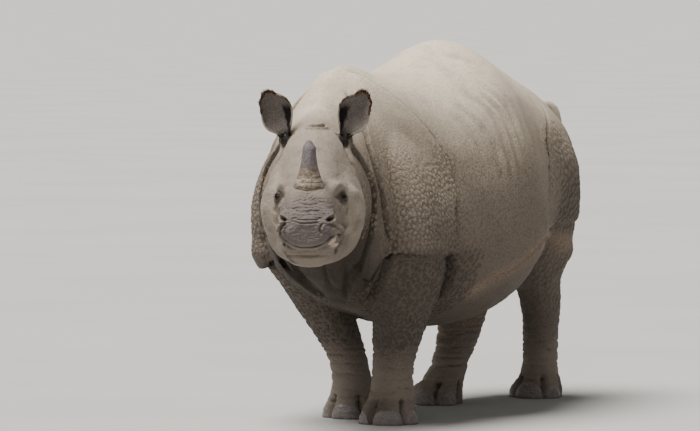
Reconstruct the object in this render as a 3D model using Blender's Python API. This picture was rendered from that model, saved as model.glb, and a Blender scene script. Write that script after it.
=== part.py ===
"""Greater one-horned rhinoceros, life size, standing with its head turned to its left.

World axes in metres: +Z up, the head towards -Y, the animal's left towards +X.
The body is first built straight along Y, then the neck is turned and the flesh is parted.
"""

import math

import bmesh
import bpy
import numpy as np

# ---- driving sizes -----------------------------------------------------
GAP = 0.0004  # clearance between touching parts
VOXEL = 0.015  # size of the cells in which the flesh is joined
FLESH_TRIANGLES = 2800  # faces kept in the joined flesh
BEND_START = -0.90  # where the neck starts to turn
BEND_END = -1.45  # where the turn is complete
HEAD_TURN = math.radians(28.0)  # turn of the head to the left
POLL = -1.44  # place of the poll along the straight body

# Trunk and neck: along, top, bottom, half width, height of the widest line, fullness above, below
TRUNK = (
    (-1.62, 1.27, 0.93, 0.150, 1.10, 1.90, 2.0),
    (-1.45, 1.36, 0.84, 0.205, 1.07, 1.75, 2.0),
    (-1.28, 1.465, 0.72, 0.260, 1.03, 1.60, 2.0),
    (-1.12, 1.560, 0.60, 0.320, 0.98, 1.55, 2.1),
    (-0.97, 1.607, 0.53, 0.385, 0.94, 1.60, 2.1),
    (-0.80, 1.575, 0.48, 0.430, 0.92, 1.75, 2.1),
    (-0.58, 1.575, 0.42, 0.490, 0.88, 1.85, 2.0),
    (-0.33, 1.645, 0.39, 0.545, 0.86, 1.90, 2.0),
    (-0.10, 1.712, 0.41, 0.540, 0.88, 1.85, 2.0),
    (0.10, 1.652, 0.475, 0.470, 0.92, 1.85, 2.0),
    (0.30, 1.572, 0.585, 0.415, 1.00, 1.95, 2.0),
    (0.50, 1.503, 0.71, 0.370, 1.05, 1.95, 2.0),
    (0.66, 1.425, 0.82, 0.300, 1.08, 2.0, 2.0),
    (0.77, 1.330, 0.94, 0.190, 1.10, 2.0, 2.0),
    (0.82, 1.240, 1.03, 0.080, 1.12, 2.0, 2.0),
)
# Head: forward of the poll, then the same sizes
SKULL = (
    (-0.10, 1.28, 0.90, 0.150, 1.10, 2.2, 2.0),
    (0.00, 1.345, 0.82, 0.195, 1.02, 2.4, 2.2),
    (0.10, 1.310, 0.79, 0.217, 0.97, 2.0, 2.5),
    (0.20, 1.240, 0.785, 0.204, 0.96, 2.1, 2.5),
    (0.30, 1.170, 0.795, 0.168, 0.965, 2.2, 2.3),
    (0.38, 1.132, 0.83, 0.142, 0.97, 2.4, 2.2),
    (0.46, 1.110, 0.855, 0.124, 0.96, 2.6, 2.5),
    (0.54, 1.077, 0.858, 0.121, 0.945, 2.5, 2.6),
    (0.605, 1.012, 0.853, 0.112, 0.93, 2.3, 2.5),
    (0.648, 0.955, 0.870, 0.075, 0.92, 2.1, 2.2),
)
JAW = (
    (-0.05, 0.98, 0.86, 0.110, 0.93, 2.1, 2.0),
    (0.05, 1.02, 0.80, 0.196, 0.91, 2.1, 2.3),
    (0.18, 1.00, 0.762, 0.196, 0.88, 2.1, 2.4),
    (0.32, 0.97, 0.755, 0.150, 0.86, 2.1, 2.2),
    (0.44, 0.93, 0.758, 0.122, 0.85, 2.2, 2.2),
    (0.53, 0.89, 0.775, 0.110, 0.85, 2.2, 2.2),
    (0.585, 0.870, 0.805, 0.075, 0.84, 2.1, 2.1),
)
# Legs and the shields of hide over them: centre across, along, height, half width, half length
FORE_SHIELD_LEFT = (
    (0.13, -0.87, 1.42, 0.08, 0.14),
    (0.235, -0.87, 1.20, 0.130, 0.24),
    (0.305, -0.87, 0.98, 0.158, 0.25),
    (0.325, -0.865, 0.84, 0.160, 0.24),
    (0.325, -0.865, 0.760, 0.152, 0.225),
)
FORE_SHIELD_RIGHT = (
    (-0.13, -0.88, 1.42, 0.08, 0.14),
    (-0.230, -0.89, 1.20, 0.125, 0.23),
    (-0.288, -0.90, 0.98, 0.136, 0.24),
    (-0.290, -0.90, 0.84, 0.134, 0.235),
    (-0.280, -0.90, 0.690, 0.122, 0.215),
)
RUMP_SHIELD_LEFT = (
    (0.14, 0.34, 1.38, 0.12, 0.24),
    (0.206, 0.372, 1.14, 0.190, 0.283),
    (0.222, 0.397, 0.94, 0.181, 0.254),
    (0.217, 0.415, 0.81, 0.158, 0.226),
    (0.202, 0.428, 0.735, 0.138, 0.202),
)
RUMP_SHIELD_RIGHT = (
    (-0.14, 0.32, 1.38, 0.12, 0.24),
    (-0.210, 0.35, 1.14, 0.190, 0.29),
    (-0.235, 0.37, 0.92, 0.180, 0.265),
    (-0.240, 0.37, 0.80, 0.172, 0.245),
    (-0.233, 0.37, 0.735, 0.158, 0.225),
)
FORE_LEFT = (
    (0.305, -0.87, 0.98, 0.135, 0.20),
    (0.302, -0.85, 0.78, 0.136, 0.188),
    (0.243, -0.825, 0.60, 0.135, 0.150),
    (0.197, -0.815, 0.42, 0.115, 0.118),
    (0.166, -0.81, 0.24, 0.093, 0.094),
    (0.158, -0.815, 0.12, 0.098, 0.102),
    (0.155, -0.83, 0.05, 0.114, 0.122),
    (0.155, -0.83, 0.00, 0.118, 0.128),
)
FORE_RIGHT = (
    (-0.285, -0.90, 0.95, 0.130, 0.20),
    (-0.285, -0.89, 0.74, 0.126, 0.180),
    (-0.245, -0.82, 0.58, 0.118, 0.142),
    (-0.188, -0.725, 0.40, 0.103, 0.112),
    (-0.148, -0.668, 0.23, 0.086, 0.090),
    (-0.138, -0.660, 0.12, 0.096, 0.100),
    (-0.131, -0.667, 0.05, 0.114, 0.122),
    (-0.130, -0.667, 0.00, 0.118, 0.128),
)
HIND_LEFT = (
    (0.220, 0.42, 0.90, 0.150, 0.22),
    (0.212, 0.45, 0.70, 0.138, 0.200),
    (0.190, 0.46, 0.615, 0.125, 0.160),
    (0.185, 0.48, 0.570, 0.112, 0.140),
    (0.170, 0.54, 0.530, 0.094, 0.122),
    (0.150, 0.600, 0.45, 0.087, 0.114),
    (0.128, 0.64, 0.28, 0.082, 0.095),
    (0.118, 0.65, 0.13, 0.088, 0.098),
    (0.115, 0.638, 0.05, 0.108, 0.116),
    (0.115, 0.635, 0.00, 0.112, 0.122),
)
HIND_RIGHT = (
    (-0.225, 0.35, 0.90, 0.150, 0.22),
    (-0.223, 0.37, 0.70, 0.140, 0.22),
    (-0.218, 0.40, 0.60, 0.132, 0.215),
    (-0.205, 0.44, 0.50, 0.106, 0.200),
    (-0.182, 0.425, 0.42, 0.092, 0.180),
    (-0.155, 0.345, 0.30, 0.082, 0.142),
    (-0.130, 0.19, 0.15, 0.086, 0.105),
    (-0.126, 0.10, 0.05, 0.110, 0.124),
    (-0.126, 0.09, 0.00, 0.114, 0.128),
)
# Tail: centre across, along, height, half width, half depth
TAIL = (
    (0.000, 0.68, 1.335, 0.046, 0.046),
    (0.030, 0.79, 1.372, 0.038, 0.038),
    (0.052, 0.880, 1.365, 0.032, 0.032),
    (0.060, 0.918, 1.290, 0.027, 0.027),
    (0.052, 0.915, 1.120, 0.023, 0.023),
    (0.040, 0.905, 0.900, 0.020, 0.020),
)
# Horn: offset forward of its root, height, half width, half length
HORN_ROOT = 0.44  # forward of the poll
HORN = (
    (0.000, 1.070, 0.066, 0.080),
    (0.002, 1.110, 0.063, 0.077),
    (0.004, 1.140, 0.052, 0.064),
    (0.004, 1.180, 0.040, 0.049),
    (0.000, 1.240, 0.030, 0.036),
    (-0.008, 1.285, 0.024, 0.028),
    (-0.012, 1.302, 0.014, 0.016),
)
# Folds of the hide on the left side, mirrored on the right: points across, along and up
SCAPULAR_FOLD = (
    (0.030, -1.020, 1.585), (0.107, -0.984, 1.545), (0.211, -0.880, 1.451), (0.314, -0.794, 1.321),
    (0.403, -0.735, 1.160), (0.440, -0.730, 1.040), (0.473, -0.795, 0.919), (0.479, -0.850, 0.800),
)
NECK_FOLD = (
    (0.100, -1.470, 1.370), (0.153, -1.440, 1.310), (0.175, -1.405, 1.240), (0.216, -1.348, 1.162),
    (0.243, -1.305, 1.100), (0.252, -1.300, 1.030), (0.246, -1.290, 0.950), (0.225, -1.250, 0.850),
    (0.170, -1.190, 0.740), (0.080, -1.130, 0.640),
)
COLLAR_FOLD = (
    (0.080, -1.150, 1.500), (0.173, -1.176, 1.368), (0.208, -1.211, 1.281), (0.244, -1.237, 1.172),
    (0.270, -1.228, 1.084), (0.285, -1.209, 0.996), (0.292, -1.170, 0.906), (0.300, -1.115, 0.816),
)
HIP_FOLD = (
    (0.200, 0.420, 1.480), (0.295, 0.374, 1.376), (0.390, 0.207, 1.242), (0.441, 0.133, 1.107),
    (0.490, 0.030, 0.977), (0.500, -0.020, 0.900), (0.505, -0.080, 0.820),
)
FOLD_LIFT = 0.016  # rise of a plate's edge
FOLD_DEPTH = 0.014  # depth of the crease beside it
FOLD_REACH = 0.055  # distance over which a fold fades

EYE_RADIUS = 0.021
EYE = (0.133, 0.337, 1.050)  # across, forward of the poll, height
EAR_BASE = (0.128, 0.005, 1.285)
EAR_HEIGHT = 0.225
# Cup of an ear: share of its height, inner edge, outer edge, half of the arc it wraps in degrees
EAR_OUTLINE = (
    (0.00, -0.022, 0.022, 150.0),
    (0.10, -0.028, 0.036, 128.0),
    (0.20, -0.036, 0.062, 112.0),
    (0.35, -0.047, 0.077, 98.0),
    (0.50, -0.053, 0.080, 90.0),
    (0.65, -0.055, 0.078, 84.0),
    (0.80, -0.047, 0.076, 78.0),
    (0.93, -0.028, 0.075, 74.0),
    (1.00, -0.002, 0.064, 70.0),
)
EAR_SHEET = 0.009  # thickness of the ear's cup
EAR_LEAN = math.radians(13.0)  # lean outwards
EAR_STALK = 0.034  # radius of the ear's stalk
EAR_FOOT = 0.024  # start of the cup above the stalk's root
EAR_DEPTH = 0.70  # depth of the cup over its half width
EAR_RIM_DROP = 0.022  # fall of the rim beside the tip
EAR_COLUMNS = 9
# Stalk of an ear: height, share of its radius
EAR_STALK_RINGS = ((-0.060, 0.95), (-0.01, 1.0), (0.026, 0.92), (0.044, 0.55))
EAR_CUT_RISE = 0.165  # half height of the box that parts an ear
EAR_CUT_TILT = 1.6  # tilt of that box over the ear's lean
# Feet: name, centre across, along, heading in degrees, half width, half length
FEET = (
    ("fore_left", 0.155, -0.83, 27.0, 0.118, 0.128),
    ("fore_right", -0.130, -0.667, 14.0, 0.118, 0.128),
    ("hind_left", 0.115, 0.635, 6.0, 0.112, 0.122),
    ("hind_right", -0.126, 0.09, -8.0, 0.114, 0.128),
)
# Nails: name, turn from the foot's heading, half width, half height
NAILS = (
    ("nail_mid", 0.0, 0.068, 0.074),
    ("nail_outer", 62.0, 0.046, 0.066),
    ("nail_inner", -62.0, 0.046, 0.066),
)
NAIL_THICKNESS = 0.032
NAIL_INSET = 0.013  # nail's centre inside the edge of the foot
NAIL_CLEARANCE = 0.002  # depth of the nail's socket under the floor
FLOOR_SNAP = 0.012  # hide lower than this is laid flat on the floor
# Cuts in the head: near and far ahead of the poll, low, high, half width
HORN_CUT = (0.358, 0.53, 1.118, 1.40, 0.085)
JAW_CUT = (0.08, 0.90, 0.55, 0.872, 0.30)
HEAD_CUT = (-0.03, 1.20, 0.30, 1.60, 0.45)
# Cuts across the trunk
NECK_BACK = -1.13
NECK_CUT_TURN = HEAD_TURN * 0.57
FOREQUARTERS_BACK = -0.64
HINDQUARTERS_FRONT = 0.10
TAIL_FRONT = 0.84
TAIL_TIP_TOP = 1.02
# Legs: name, stations, height of the parting inside the body, height of the knee or hock
LEG_CUTS = (
    ("fore_left", FORE_LEFT, 0.742, 0.36),
    ("fore_right", FORE_RIGHT, 0.672, 0.36),
    ("hind_left", HIND_LEFT, 0.718, 0.40),
    ("hind_right", HIND_RIGHT, 0.718, 0.40),
)
ANKLE = 0.105  # height of the parting between shank and foot
COLUMN_SLACK = 0.055  # room round a leg in its parting column


# ---- helpers -----------------------------------------------------------
def material(name, colour, roughness):
    made = bpy.data.materials.new(name)
    made.use_nodes = True
    shader = made.node_tree.nodes["Principled BSDF"]
    shader.inputs["Base Color"].default_value = (*colour, 1.0)
    shader.inputs["Roughness"].default_value = roughness
    return made


def curve_through(table, count):
    """Rows on a smooth curve through the rows of a table."""
    table = np.array(table, float)
    steps = np.sqrt((np.diff(table[:, :3], axis=0) ** 2).sum(1))
    along = np.concatenate([[0.0], np.cumsum(steps)])
    slope = np.gradient(table, along, axis=0)
    place = np.linspace(0.0, along[-1], count)
    k = np.clip(np.searchsorted(along, place, side="right") - 1, 0, len(table) - 2)
    width = (along[k + 1] - along[k])[:, None]
    f = (place - along[k])[:, None] / width
    near, far = table[k], table[k + 1]
    leave, arrive = slope[k] * width, slope[k + 1] * width
    out = (2 * f**3 - 3 * f**2 + 1) * near + (f**3 - 2 * f**2 + f) * leave
    return out + (3 * f**2 - 2 * f**3) * far + (f**3 - f**2) * arrive


def round_angles(count):
    return np.linspace(0.0, 2.0 * math.pi, count, endpoint=False)


def body_ring(y, top, bottom, half, widest, above, below, count=48):
    """Ring of the trunk or head, full above and below its widest line by two powers."""
    c, s = np.cos(round_angles(count)), np.sin(round_angles(count))
    power = np.where(s >= 0, above, below)
    reach = np.where(s >= 0, top - widest, widest - bottom)
    x = half * np.sign(c) * np.abs(c) ** (2 / power)
    z = widest + reach * np.sign(s) * np.abs(s) ** (2 / power)
    return np.stack([x, np.full(count, y), z], 1)


def leg_ring(x, y, z, half_width, half_length, power=2.2, count=32):
    """Level ring of a leg."""
    c, s = np.cos(round_angles(count)), np.sin(round_angles(count))
    across = x + half_width * np.sign(c) * np.abs(c) ** (2 / power)
    along = y + half_length * np.sign(s) * np.abs(s) ** (2 / power)
    return np.stack([across, along, np.full(count, z)], 1)


def loft(name, rings):
    """Closed solid through a row of rings, its bands split along the same diagonal."""
    count = len(rings[0])
    bm = bmesh.new()
    rows = [[bm.verts.new(point) for point in ring] for ring in rings]
    for low, high in zip(rows, rows[1:]):
        for k in range(count):
            m = (k + 1) % count
            bm.faces.new((low[k], low[m], high[m]))
            bm.faces.new((low[k], high[m], high[k]))
    bm.faces.new(rows[0])
    bm.faces.new(rows[-1])
    bmesh.ops.recalc_face_normals(bm, faces=bm.faces)
    mesh = bpy.data.meshes.new(name)
    bm.to_mesh(mesh)
    bm.free()
    obj = bpy.data.objects.new(name, mesh)
    bpy.context.collection.objects.link(obj)
    return obj


def apply_modifier(obj, kind, **values):
    modifier = obj.modifiers.new(kind, kind)
    for key, value in values.items():
        setattr(modifier, key, value)
    bpy.context.view_layer.objects.active = obj
    bpy.ops.object.modifier_apply(modifier=modifier.name)


def join(objects, name):
    bpy.ops.object.select_all(action="DESELECT")
    for obj in objects:
        obj.select_set(True)
    bpy.context.view_layer.objects.active = objects[0]
    bpy.ops.object.join()
    objects[0].name = name
    return objects[0]


def points_of(obj):
    flat = np.empty(len(obj.data.vertices) * 3)
    obj.data.vertices.foreach_get("co", flat)
    return flat.reshape(-1, 3)


def place_points(obj, points):
    obj.data.vertices.foreach_set("co", points.ravel())
    obj.data.update()


def turn_neck(points):
    """Turns the straight body to the left between the shoulders and the poll."""
    span = BEND_START - BEND_END
    s = np.linspace(0.0, 3.0 * span, 600)
    f = np.clip(s / span, 0.0, 1.0)
    heading = HEAD_TURN * f * f * (3.0 - 2.0 * f)
    step = np.diff(s)
    sine, cosine = np.sin(heading), np.cos(heading)
    x = np.concatenate([[0.0], np.cumsum((sine[1:] + sine[:-1]) / 2 * step)])
    y = BEND_START - np.concatenate([[0.0], np.cumsum((cosine[1:] + cosine[:-1]) / 2 * step)])
    out = points.copy()
    ahead = points[:, 1] < BEND_START
    distance = BEND_START - points[ahead, 1]
    turn = np.interp(distance, s, heading)
    out[ahead, 0] = np.interp(distance, s, x) + points[ahead, 0] * np.cos(turn)
    out[ahead, 1] = np.interp(distance, s, y) + points[ahead, 0] * np.sin(turn)
    return out


def turn_with_neck(obj):
    place_points(obj, turn_neck(points_of(obj)))
    return obj


def combine(target, other, operation):
    """Boolean of two solids; the second one is used up."""
    apply_modifier(target, "BOOLEAN", object=other, operation=operation, solver="EXACT")
    bpy.data.objects.remove(other)
    return target


def copy_of(obj, name):
    twin = obj.copy()
    twin.data = obj.data.copy()
    twin.name = name
    bpy.context.collection.objects.link(twin)
    return twin


def box(centre, size, turn=0.0):
    """Box with full sizes, turned about Z."""
    bpy.ops.mesh.primitive_cube_add(size=1.0, location=centre, rotation=(0.0, 0.0, turn))
    obj = bpy.context.active_object
    obj.scale = size
    bpy.ops.object.transform_apply(location=True, rotation=True, scale=True)
    return obj


def take(body, name, cutter):
    """Parts the piece inside a cutter from the body, with a thin gap round it."""
    piece = combine(copy_of(body, name), cutter(0.0), "INTERSECT")
    combine(body, cutter(GAP), "DIFFERENCE")
    return piece


# ---- flesh -------------------------------------------------------------
def trunk():
    return loft("trunk", [body_ring(*row) for row in curve_through(TRUNK, 44)])


def head_solid(name, stations, count):
    rows = curve_through(stations, count)
    return loft(name, [body_ring(POLL - row[0], *row[1:]) for row in rows])


def leg_solid(name, stations, power=2.2):
    rings = [leg_ring(*row, power) for row in curve_through(stations, 28)]
    return loft(name, rings)


def tail_solid():
    rows = curve_through(TAIL, 30)
    side = np.array([1.0, 0.0, 0.0])
    rings = []
    for i, row in enumerate(rows):
        ahead = rows[min(i + 1, len(rows) - 1)][:3] - rows[max(i - 1, 0)][:3]
        up = np.cross(ahead, side)
        up = up / np.linalg.norm(up)
        c, s = np.cos(round_angles(16)), np.sin(round_angles(16))
        rings.append(row[:3] + np.outer(c, side) * row[3] + np.outer(s, up) * row[4])
    return loft("tail_solid", rings)


def fold_push(points, path, mirror, plate_ahead):
    """Height of one fold at each point: a raised plate edge beside a narrow crease."""
    line = curve_through(path, 60)
    line[:, 0] *= mirror
    nearest = np.full(len(points), 9.0)
    side = np.zeros(len(points))
    inside = np.zeros(len(points))
    for k, spot in enumerate(line):
        away = points - spot
        distance = np.sqrt((away**2).sum(1))
        closer = distance < nearest
        nearest[closer] = distance[closer]
        side[closer] = away[closer, 1] * plate_ahead
        inside[closer] = math.sin(math.pi * (k + 1) / (len(line) + 1)) ** 0.4
    across = nearest * np.sign(side)
    raised = FOLD_LIFT * np.exp(-np.maximum(across, 0.0) / FOLD_REACH)
    sunk = FOLD_DEPTH * np.exp(-np.maximum(-across, 0.0) / (FOLD_REACH * 0.5))
    blend = 0.5 + 0.5 * np.tanh(across / 0.012)
    near = np.exp(-((nearest / (2.5 * FOLD_REACH)) ** 2))
    return (raised * blend - sunk * (1.0 - blend)) * near * inside


def raise_folds(obj):
    """Pushes the hide into its plates along the main folds of both sides."""
    points = points_of(obj)
    normals = np.empty(len(points) * 3)
    obj.data.vertices.foreach_get("normal", normals)
    normals = normals.reshape(-1, 3)
    push = np.zeros(len(points))
    folds = ((SCAPULAR_FOLD, -1.0), (NECK_FOLD, 1.0), (COLLAR_FOLD, 1.0), (HIP_FOLD, 1.0))
    for path, plate_ahead in folds:
        for mirror in (1.0, -1.0):
            push += fold_push(points, path, mirror, plate_ahead)
    place_points(obj, points + normals * push[:, None])


def flesh():
    """The whole body in one skin, straight, then turned at the neck and made light."""
    solids = [trunk(), head_solid("skull", SKULL, 30), head_solid("jaw", JAW, 24), tail_solid()]
    for stations in (FORE_LEFT, FORE_RIGHT, HIND_LEFT, HIND_RIGHT):
        solids.append(leg_solid("leg", stations))
    for stations in (FORE_SHIELD_LEFT, FORE_SHIELD_RIGHT, RUMP_SHIELD_LEFT, RUMP_SHIELD_RIGHT):
        solids.append(leg_solid("shield", stations, 2.5))
    body = join(solids, "flesh")
    apply_modifier(body, "REMESH", mode="VOXEL", voxel_size=VOXEL)
    apply_modifier(body, "SMOOTH", factor=0.5, iterations=5)
    raise_folds(body)
    turn_with_neck(body)
    apply_modifier(body, "TRIANGULATE")
    faces = len(body.data.polygons)
    apply_modifier(body, "DECIMATE", ratio=FLESH_TRIANGLES / faces)
    level = points_of(body)
    level[:, 2] = np.where(level[:, 2] < FLOOR_SNAP, 0.0, level[:, 2])
    place_points(body, level)
    return body


# ---- horn, ears, eyes and nails ----------------------------------------
def horn_solid():
    rings = []
    for forward, height, half_width, half_length in HORN:
        y = POLL - HORN_ROOT - forward
        rings.append(leg_ring(0.0, y, height, half_width, half_length, 2.0, 14))
    return turn_with_neck(loft("horn_solid", rings))


def ear_solid(side):
    """Cup of an ear: a rolled sheet that opens forward, on a solid stalk."""
    bm = bmesh.new()
    rows = []
    for h, inner, outer, arc in EAR_OUTLINE:
        middle, half = (inner + outer) / 2, (outer - inner) / 2
        arc = math.radians(arc)
        row = []
        for k in range(EAR_COLUMNS):
            across = 2 * k / (EAR_COLUMNS - 1) - 1.0
            turn = arc * across
            x = middle + half * math.sin(turn) / math.sin(min(arc, math.pi / 2))
            y = half * EAR_DEPTH * math.cos(turn)
            z = EAR_FOOT + (EAR_HEIGHT - EAR_FOOT) * h - EAR_RIM_DROP * h * across**2
            row.append(bm.verts.new((x * side, y, z)))
        rows.append(row)
    for low, high in zip(rows, rows[1:]):
        for k in range(EAR_COLUMNS - 1):
            bm.faces.new((low[k], low[k + 1], high[k + 1], high[k]))
    mesh = bpy.data.meshes.new("ear_cup")
    bm.to_mesh(mesh)
    bm.free()
    cup = bpy.data.objects.new("ear_cup", mesh)
    bpy.context.collection.objects.link(cup)
    apply_modifier(cup, "SOLIDIFY", thickness=EAR_SHEET, offset=0.0)
    stalk_rings = [
        leg_ring(0.0, 0.006, z, EAR_STALK * f, EAR_STALK * f * 0.8, 2.0, 10)
        for z, f in EAR_STALK_RINGS
    ]
    ear = combine(cup, loft("ear_stalk", stalk_rings), "UNION")
    points = points_of(ear)
    lean = EAR_LEAN * side
    x = points[:, 0] * math.cos(lean) + points[:, 2] * math.sin(lean)
    z = points[:, 2] * math.cos(lean) - points[:, 0] * math.sin(lean)
    moved = np.stack([x + EAR_BASE[0] * side, points[:, 1] + POLL - EAR_BASE[1], z + EAR_BASE[2]], 1)
    place_points(ear, moved)
    return turn_with_neck(ear)


def eye_ball(side, grow):
    x, forward, z = EYE
    bpy.ops.mesh.primitive_uv_sphere_add(
        segments=12, ring_count=8, radius=EYE_RADIUS + grow, location=(x * side, POLL - forward, z)
    )
    ball = bpy.context.active_object
    bpy.ops.object.transform_apply(location=True, rotation=True, scale=True)
    return turn_with_neck(ball)


def nail_solid(foot, nail, grow):
    """Rounded nail set in the edge of a foot, flat at the floor."""
    _, x, y, heading, foot_width, foot_length = foot
    _, turn, half_width, half_height = nail
    angle = math.radians(heading + turn)
    reach = 0.5 * (foot_width + foot_length) - NAIL_INSET
    centre = (x + reach * math.sin(angle), y - reach * math.cos(angle), 0.0)
    size = (half_width + grow, NAIL_THICKNESS + grow, half_height + grow)
    bpy.ops.mesh.primitive_uv_sphere_add(
        segments=9, ring_count=6, radius=1.0, location=centre, rotation=(0.0, 0.0, angle)
    )
    ball = bpy.context.active_object
    ball.scale = size
    bpy.ops.object.transform_apply(location=True, rotation=True, scale=True)
    bm = bmesh.new()
    bm.from_mesh(ball.data)
    geometry = bm.verts[:] + bm.edges[:] + bm.faces[:]
    level = -NAIL_CLEARANCE if grow else 0.0
    cut = bmesh.ops.bisect_plane(
        bm, geom=geometry, plane_co=(0, 0, level), plane_no=(0, 0, -1), clear_outer=True
    )
    rim = [item for item in cut["geom_cut"] if isinstance(item, bmesh.types.BMEdge)]
    bmesh.ops.edgeloop_fill(bm, edges=rim)
    bmesh.ops.recalc_face_normals(bm, faces=bm.faces)
    bm.to_mesh(ball.data)
    bm.free()
    return ball


# ---- cutters -----------------------------------------------------------
def head_box(near, far, low, high, half):
    """Box in the head: between two places ahead of the poll and two heights."""
    def cutter(grow):
        centre = np.array([[0.0, POLL - (near + far) / 2, (low + high) / 2]])
        place = turn_neck(centre)[0]
        size = (2 * (half + grow), far - near + 2 * grow, high - low + 2 * grow)
        return box(tuple(place), size, HEAD_TURN)
    return cutter


def ear_box(side):
    """Box round one ear above its root, leaning with it."""
    def cutter(grow):
        lean = EAR_LEAN * side
        x = EAR_BASE[0] * side + EAR_CUT_RISE * math.sin(lean)
        z = EAR_BASE[2] + 0.006 + EAR_CUT_RISE * math.cos(lean)
        centre = np.array([[x, POLL - EAR_BASE[1], z]])
        width = 0.30 + 2 * grow
        made = box((0.0, 0.0, 0.0), (width, width, 2 * EAR_CUT_RISE + 2 * grow))
        points = points_of(made)
        tilt = lean * EAR_CUT_TILT
        x = points[:, 0] * math.cos(tilt) + points[:, 2] * math.sin(tilt)
        z = points[:, 2] * math.cos(tilt) - points[:, 0] * math.sin(tilt)
        turned = np.stack([x, points[:, 1], z], 1) + centre
        place_points(made, turn_neck(turned))
        return made
    return cutter


def cross_box(near, far, turn=0.0):
    """Box across the whole body between two places along it."""
    def cutter(grow):
        centre = turn_neck(np.array([[0.0, (near + far) / 2, 0.9]]))[0]
        size = (2.4, far - near + 2 * grow, 2.4)
        return box(tuple(centre), size, turn)
    return cutter


def leg_column(stations, top):
    """Column round a leg from under the floor up to a height inside the body."""
    def cutter(grow):
        rings = []
        room = COLUMN_SLACK + grow
        for row in curve_through(stations, 8):
            if row[2] < top:
                rings.append(leg_ring(*row[:3], row[3] + room, row[4] + room, 2.2, 8))
        first = rings[0].copy()
        first[:, 2] = top + grow
        last = rings[-1].copy()
        last[:, 2] = -0.05
        return loft("column", [first] + rings + [last])
    return cutter


def level_box(stations, low, high):
    """Box round one leg between two heights."""
    def cutter(grow):
        rows = np.array(stations)
        x, y = rows[:, 0].mean(), rows[:, 1].mean()
        return box((x, y, (low + high) / 2), (0.9, 1.2, high - low + 2 * grow))
    return cutter


def tail_box(grow):
    """Box behind the rump, round the free part of the tail."""
    depth = 0.44 + grow
    return box((0.03, TAIL_FRONT - grow + depth / 2, 1.1), (0.5, depth, 1.0))


# ---- the model ---------------------------------------------------------
def finish(obj, name, made):
    obj.name = name
    obj.data.name = name
    obj.data.materials.clear()
    obj.data.materials.append(made)
    for face in obj.data.polygons:
        face.use_smooth = True
    return obj


def head_parts(body, looks):
    hide, horn_look, dark = looks["hide"], looks["horn"], looks["eye"]
    for side in (1, -1):
        combine(body, ear_solid(side), "UNION")
    combine(body, horn_solid(), "UNION")
    for side, word in ((1, "left"), (-1, "right")):
        finish(take(body, "ear_" + word, ear_box(side)), "ear_" + word, looks["ear"])
    finish(take(body, "horn", head_box(*HORN_CUT)), "horn", horn_look)
    for side, word in ((1, "left"), (-1, "right")):
        combine(body, eye_ball(side, GAP), "DIFFERENCE")
        finish(eye_ball(side, 0.0), "eye_" + word, dark)
    jaw = take(body, "lower_jaw", head_box(*JAW_CUT))
    finish(jaw, "lower_jaw", hide)
    finish(take(body, "head", head_box(*HEAD_CUT)), "head", hide)


def leg_parts(body, word, stations, top, joint, looks):
    """One leg in three parts, with its nails set into the foot."""
    leg = take(body, word, leg_column(stations, top))
    foot = take(leg, word + "_foot", level_box(stations, -0.2, ANKLE))
    lower = take(leg, word + "_lower", level_box(stations, 0.0, joint))
    plan = next(item for item in FEET if item[0] == word)
    for nail in NAILS:
        combine(foot, nail_solid(plan, nail, GAP), "DIFFERENCE")
        finish(nail_solid(plan, nail, 0.0), word + "_" + nail[0], looks["nail"])
    finish(leg, word + "_upper", looks["hide"])
    finish(lower, word + "_lower", looks["hide"])
    finish(foot, word + "_foot", looks["hide"])


def trunk_parts(body, looks):
    hide = looks["hide"]
    tail = take(body, "tail", tail_box)
    finish(take(tail, "tail_tip", level_box(TAIL, 0.4, TAIL_TIP_TOP)), "tail_tip", looks["tail"])
    finish(tail, "tail", hide)
    finish(take(body, "neck", cross_box(-2.4, NECK_BACK, NECK_CUT_TURN)), "neck", hide)
    finish(take(body, "forequarters", cross_box(-2.4, FOREQUARTERS_BACK)), "forequarters", hide)
    finish(take(body, "hindquarters", cross_box(HINDQUARTERS_FRONT, 1.8)), "hindquarters", hide)
    finish(body, "barrel", hide)


def stand_on_origin():
    """Moves the whole model so that its box stands centred over the origin."""
    everything = [obj for obj in bpy.data.objects if obj.type == "MESH"]
    stacked = np.concatenate([points_of(obj) for obj in everything])
    middle = (stacked.min(0) + stacked.max(0)) / 2
    middle[2] = stacked[:, 2].min()
    for obj in everything:
        place_points(obj, points_of(obj) - middle)


def main():
    for obj in list(bpy.data.objects):
        bpy.data.objects.remove(obj)
    looks = {
        "hide": material("hide", (0.34, 0.31, 0.28), 0.85),
        "ear": material("ear_hide", (0.22, 0.19, 0.17), 0.85),
        "horn": material("horn_fibre", (0.20, 0.18, 0.19), 0.70),
        "eye": material("eye_dark", (0.02, 0.012, 0.008), 0.15),
        "nail": material("nail_grey", (0.30, 0.27, 0.26), 0.60),
        "tail": material("tail_bristle", (0.06, 0.05, 0.045), 0.80),
    }
    body = flesh()
    head_parts(body, looks)
    for word, stations, top, joint in LEG_CUTS:
        leg_parts(body, word, stations, top, joint, looks)
    trunk_parts(body, looks)
    stand_on_origin()


main()
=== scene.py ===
import math
from itertools import product

import bmesh
import bpy
import numpy as np
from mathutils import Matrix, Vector
from mathutils.bvhtree import BVHTree


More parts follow.
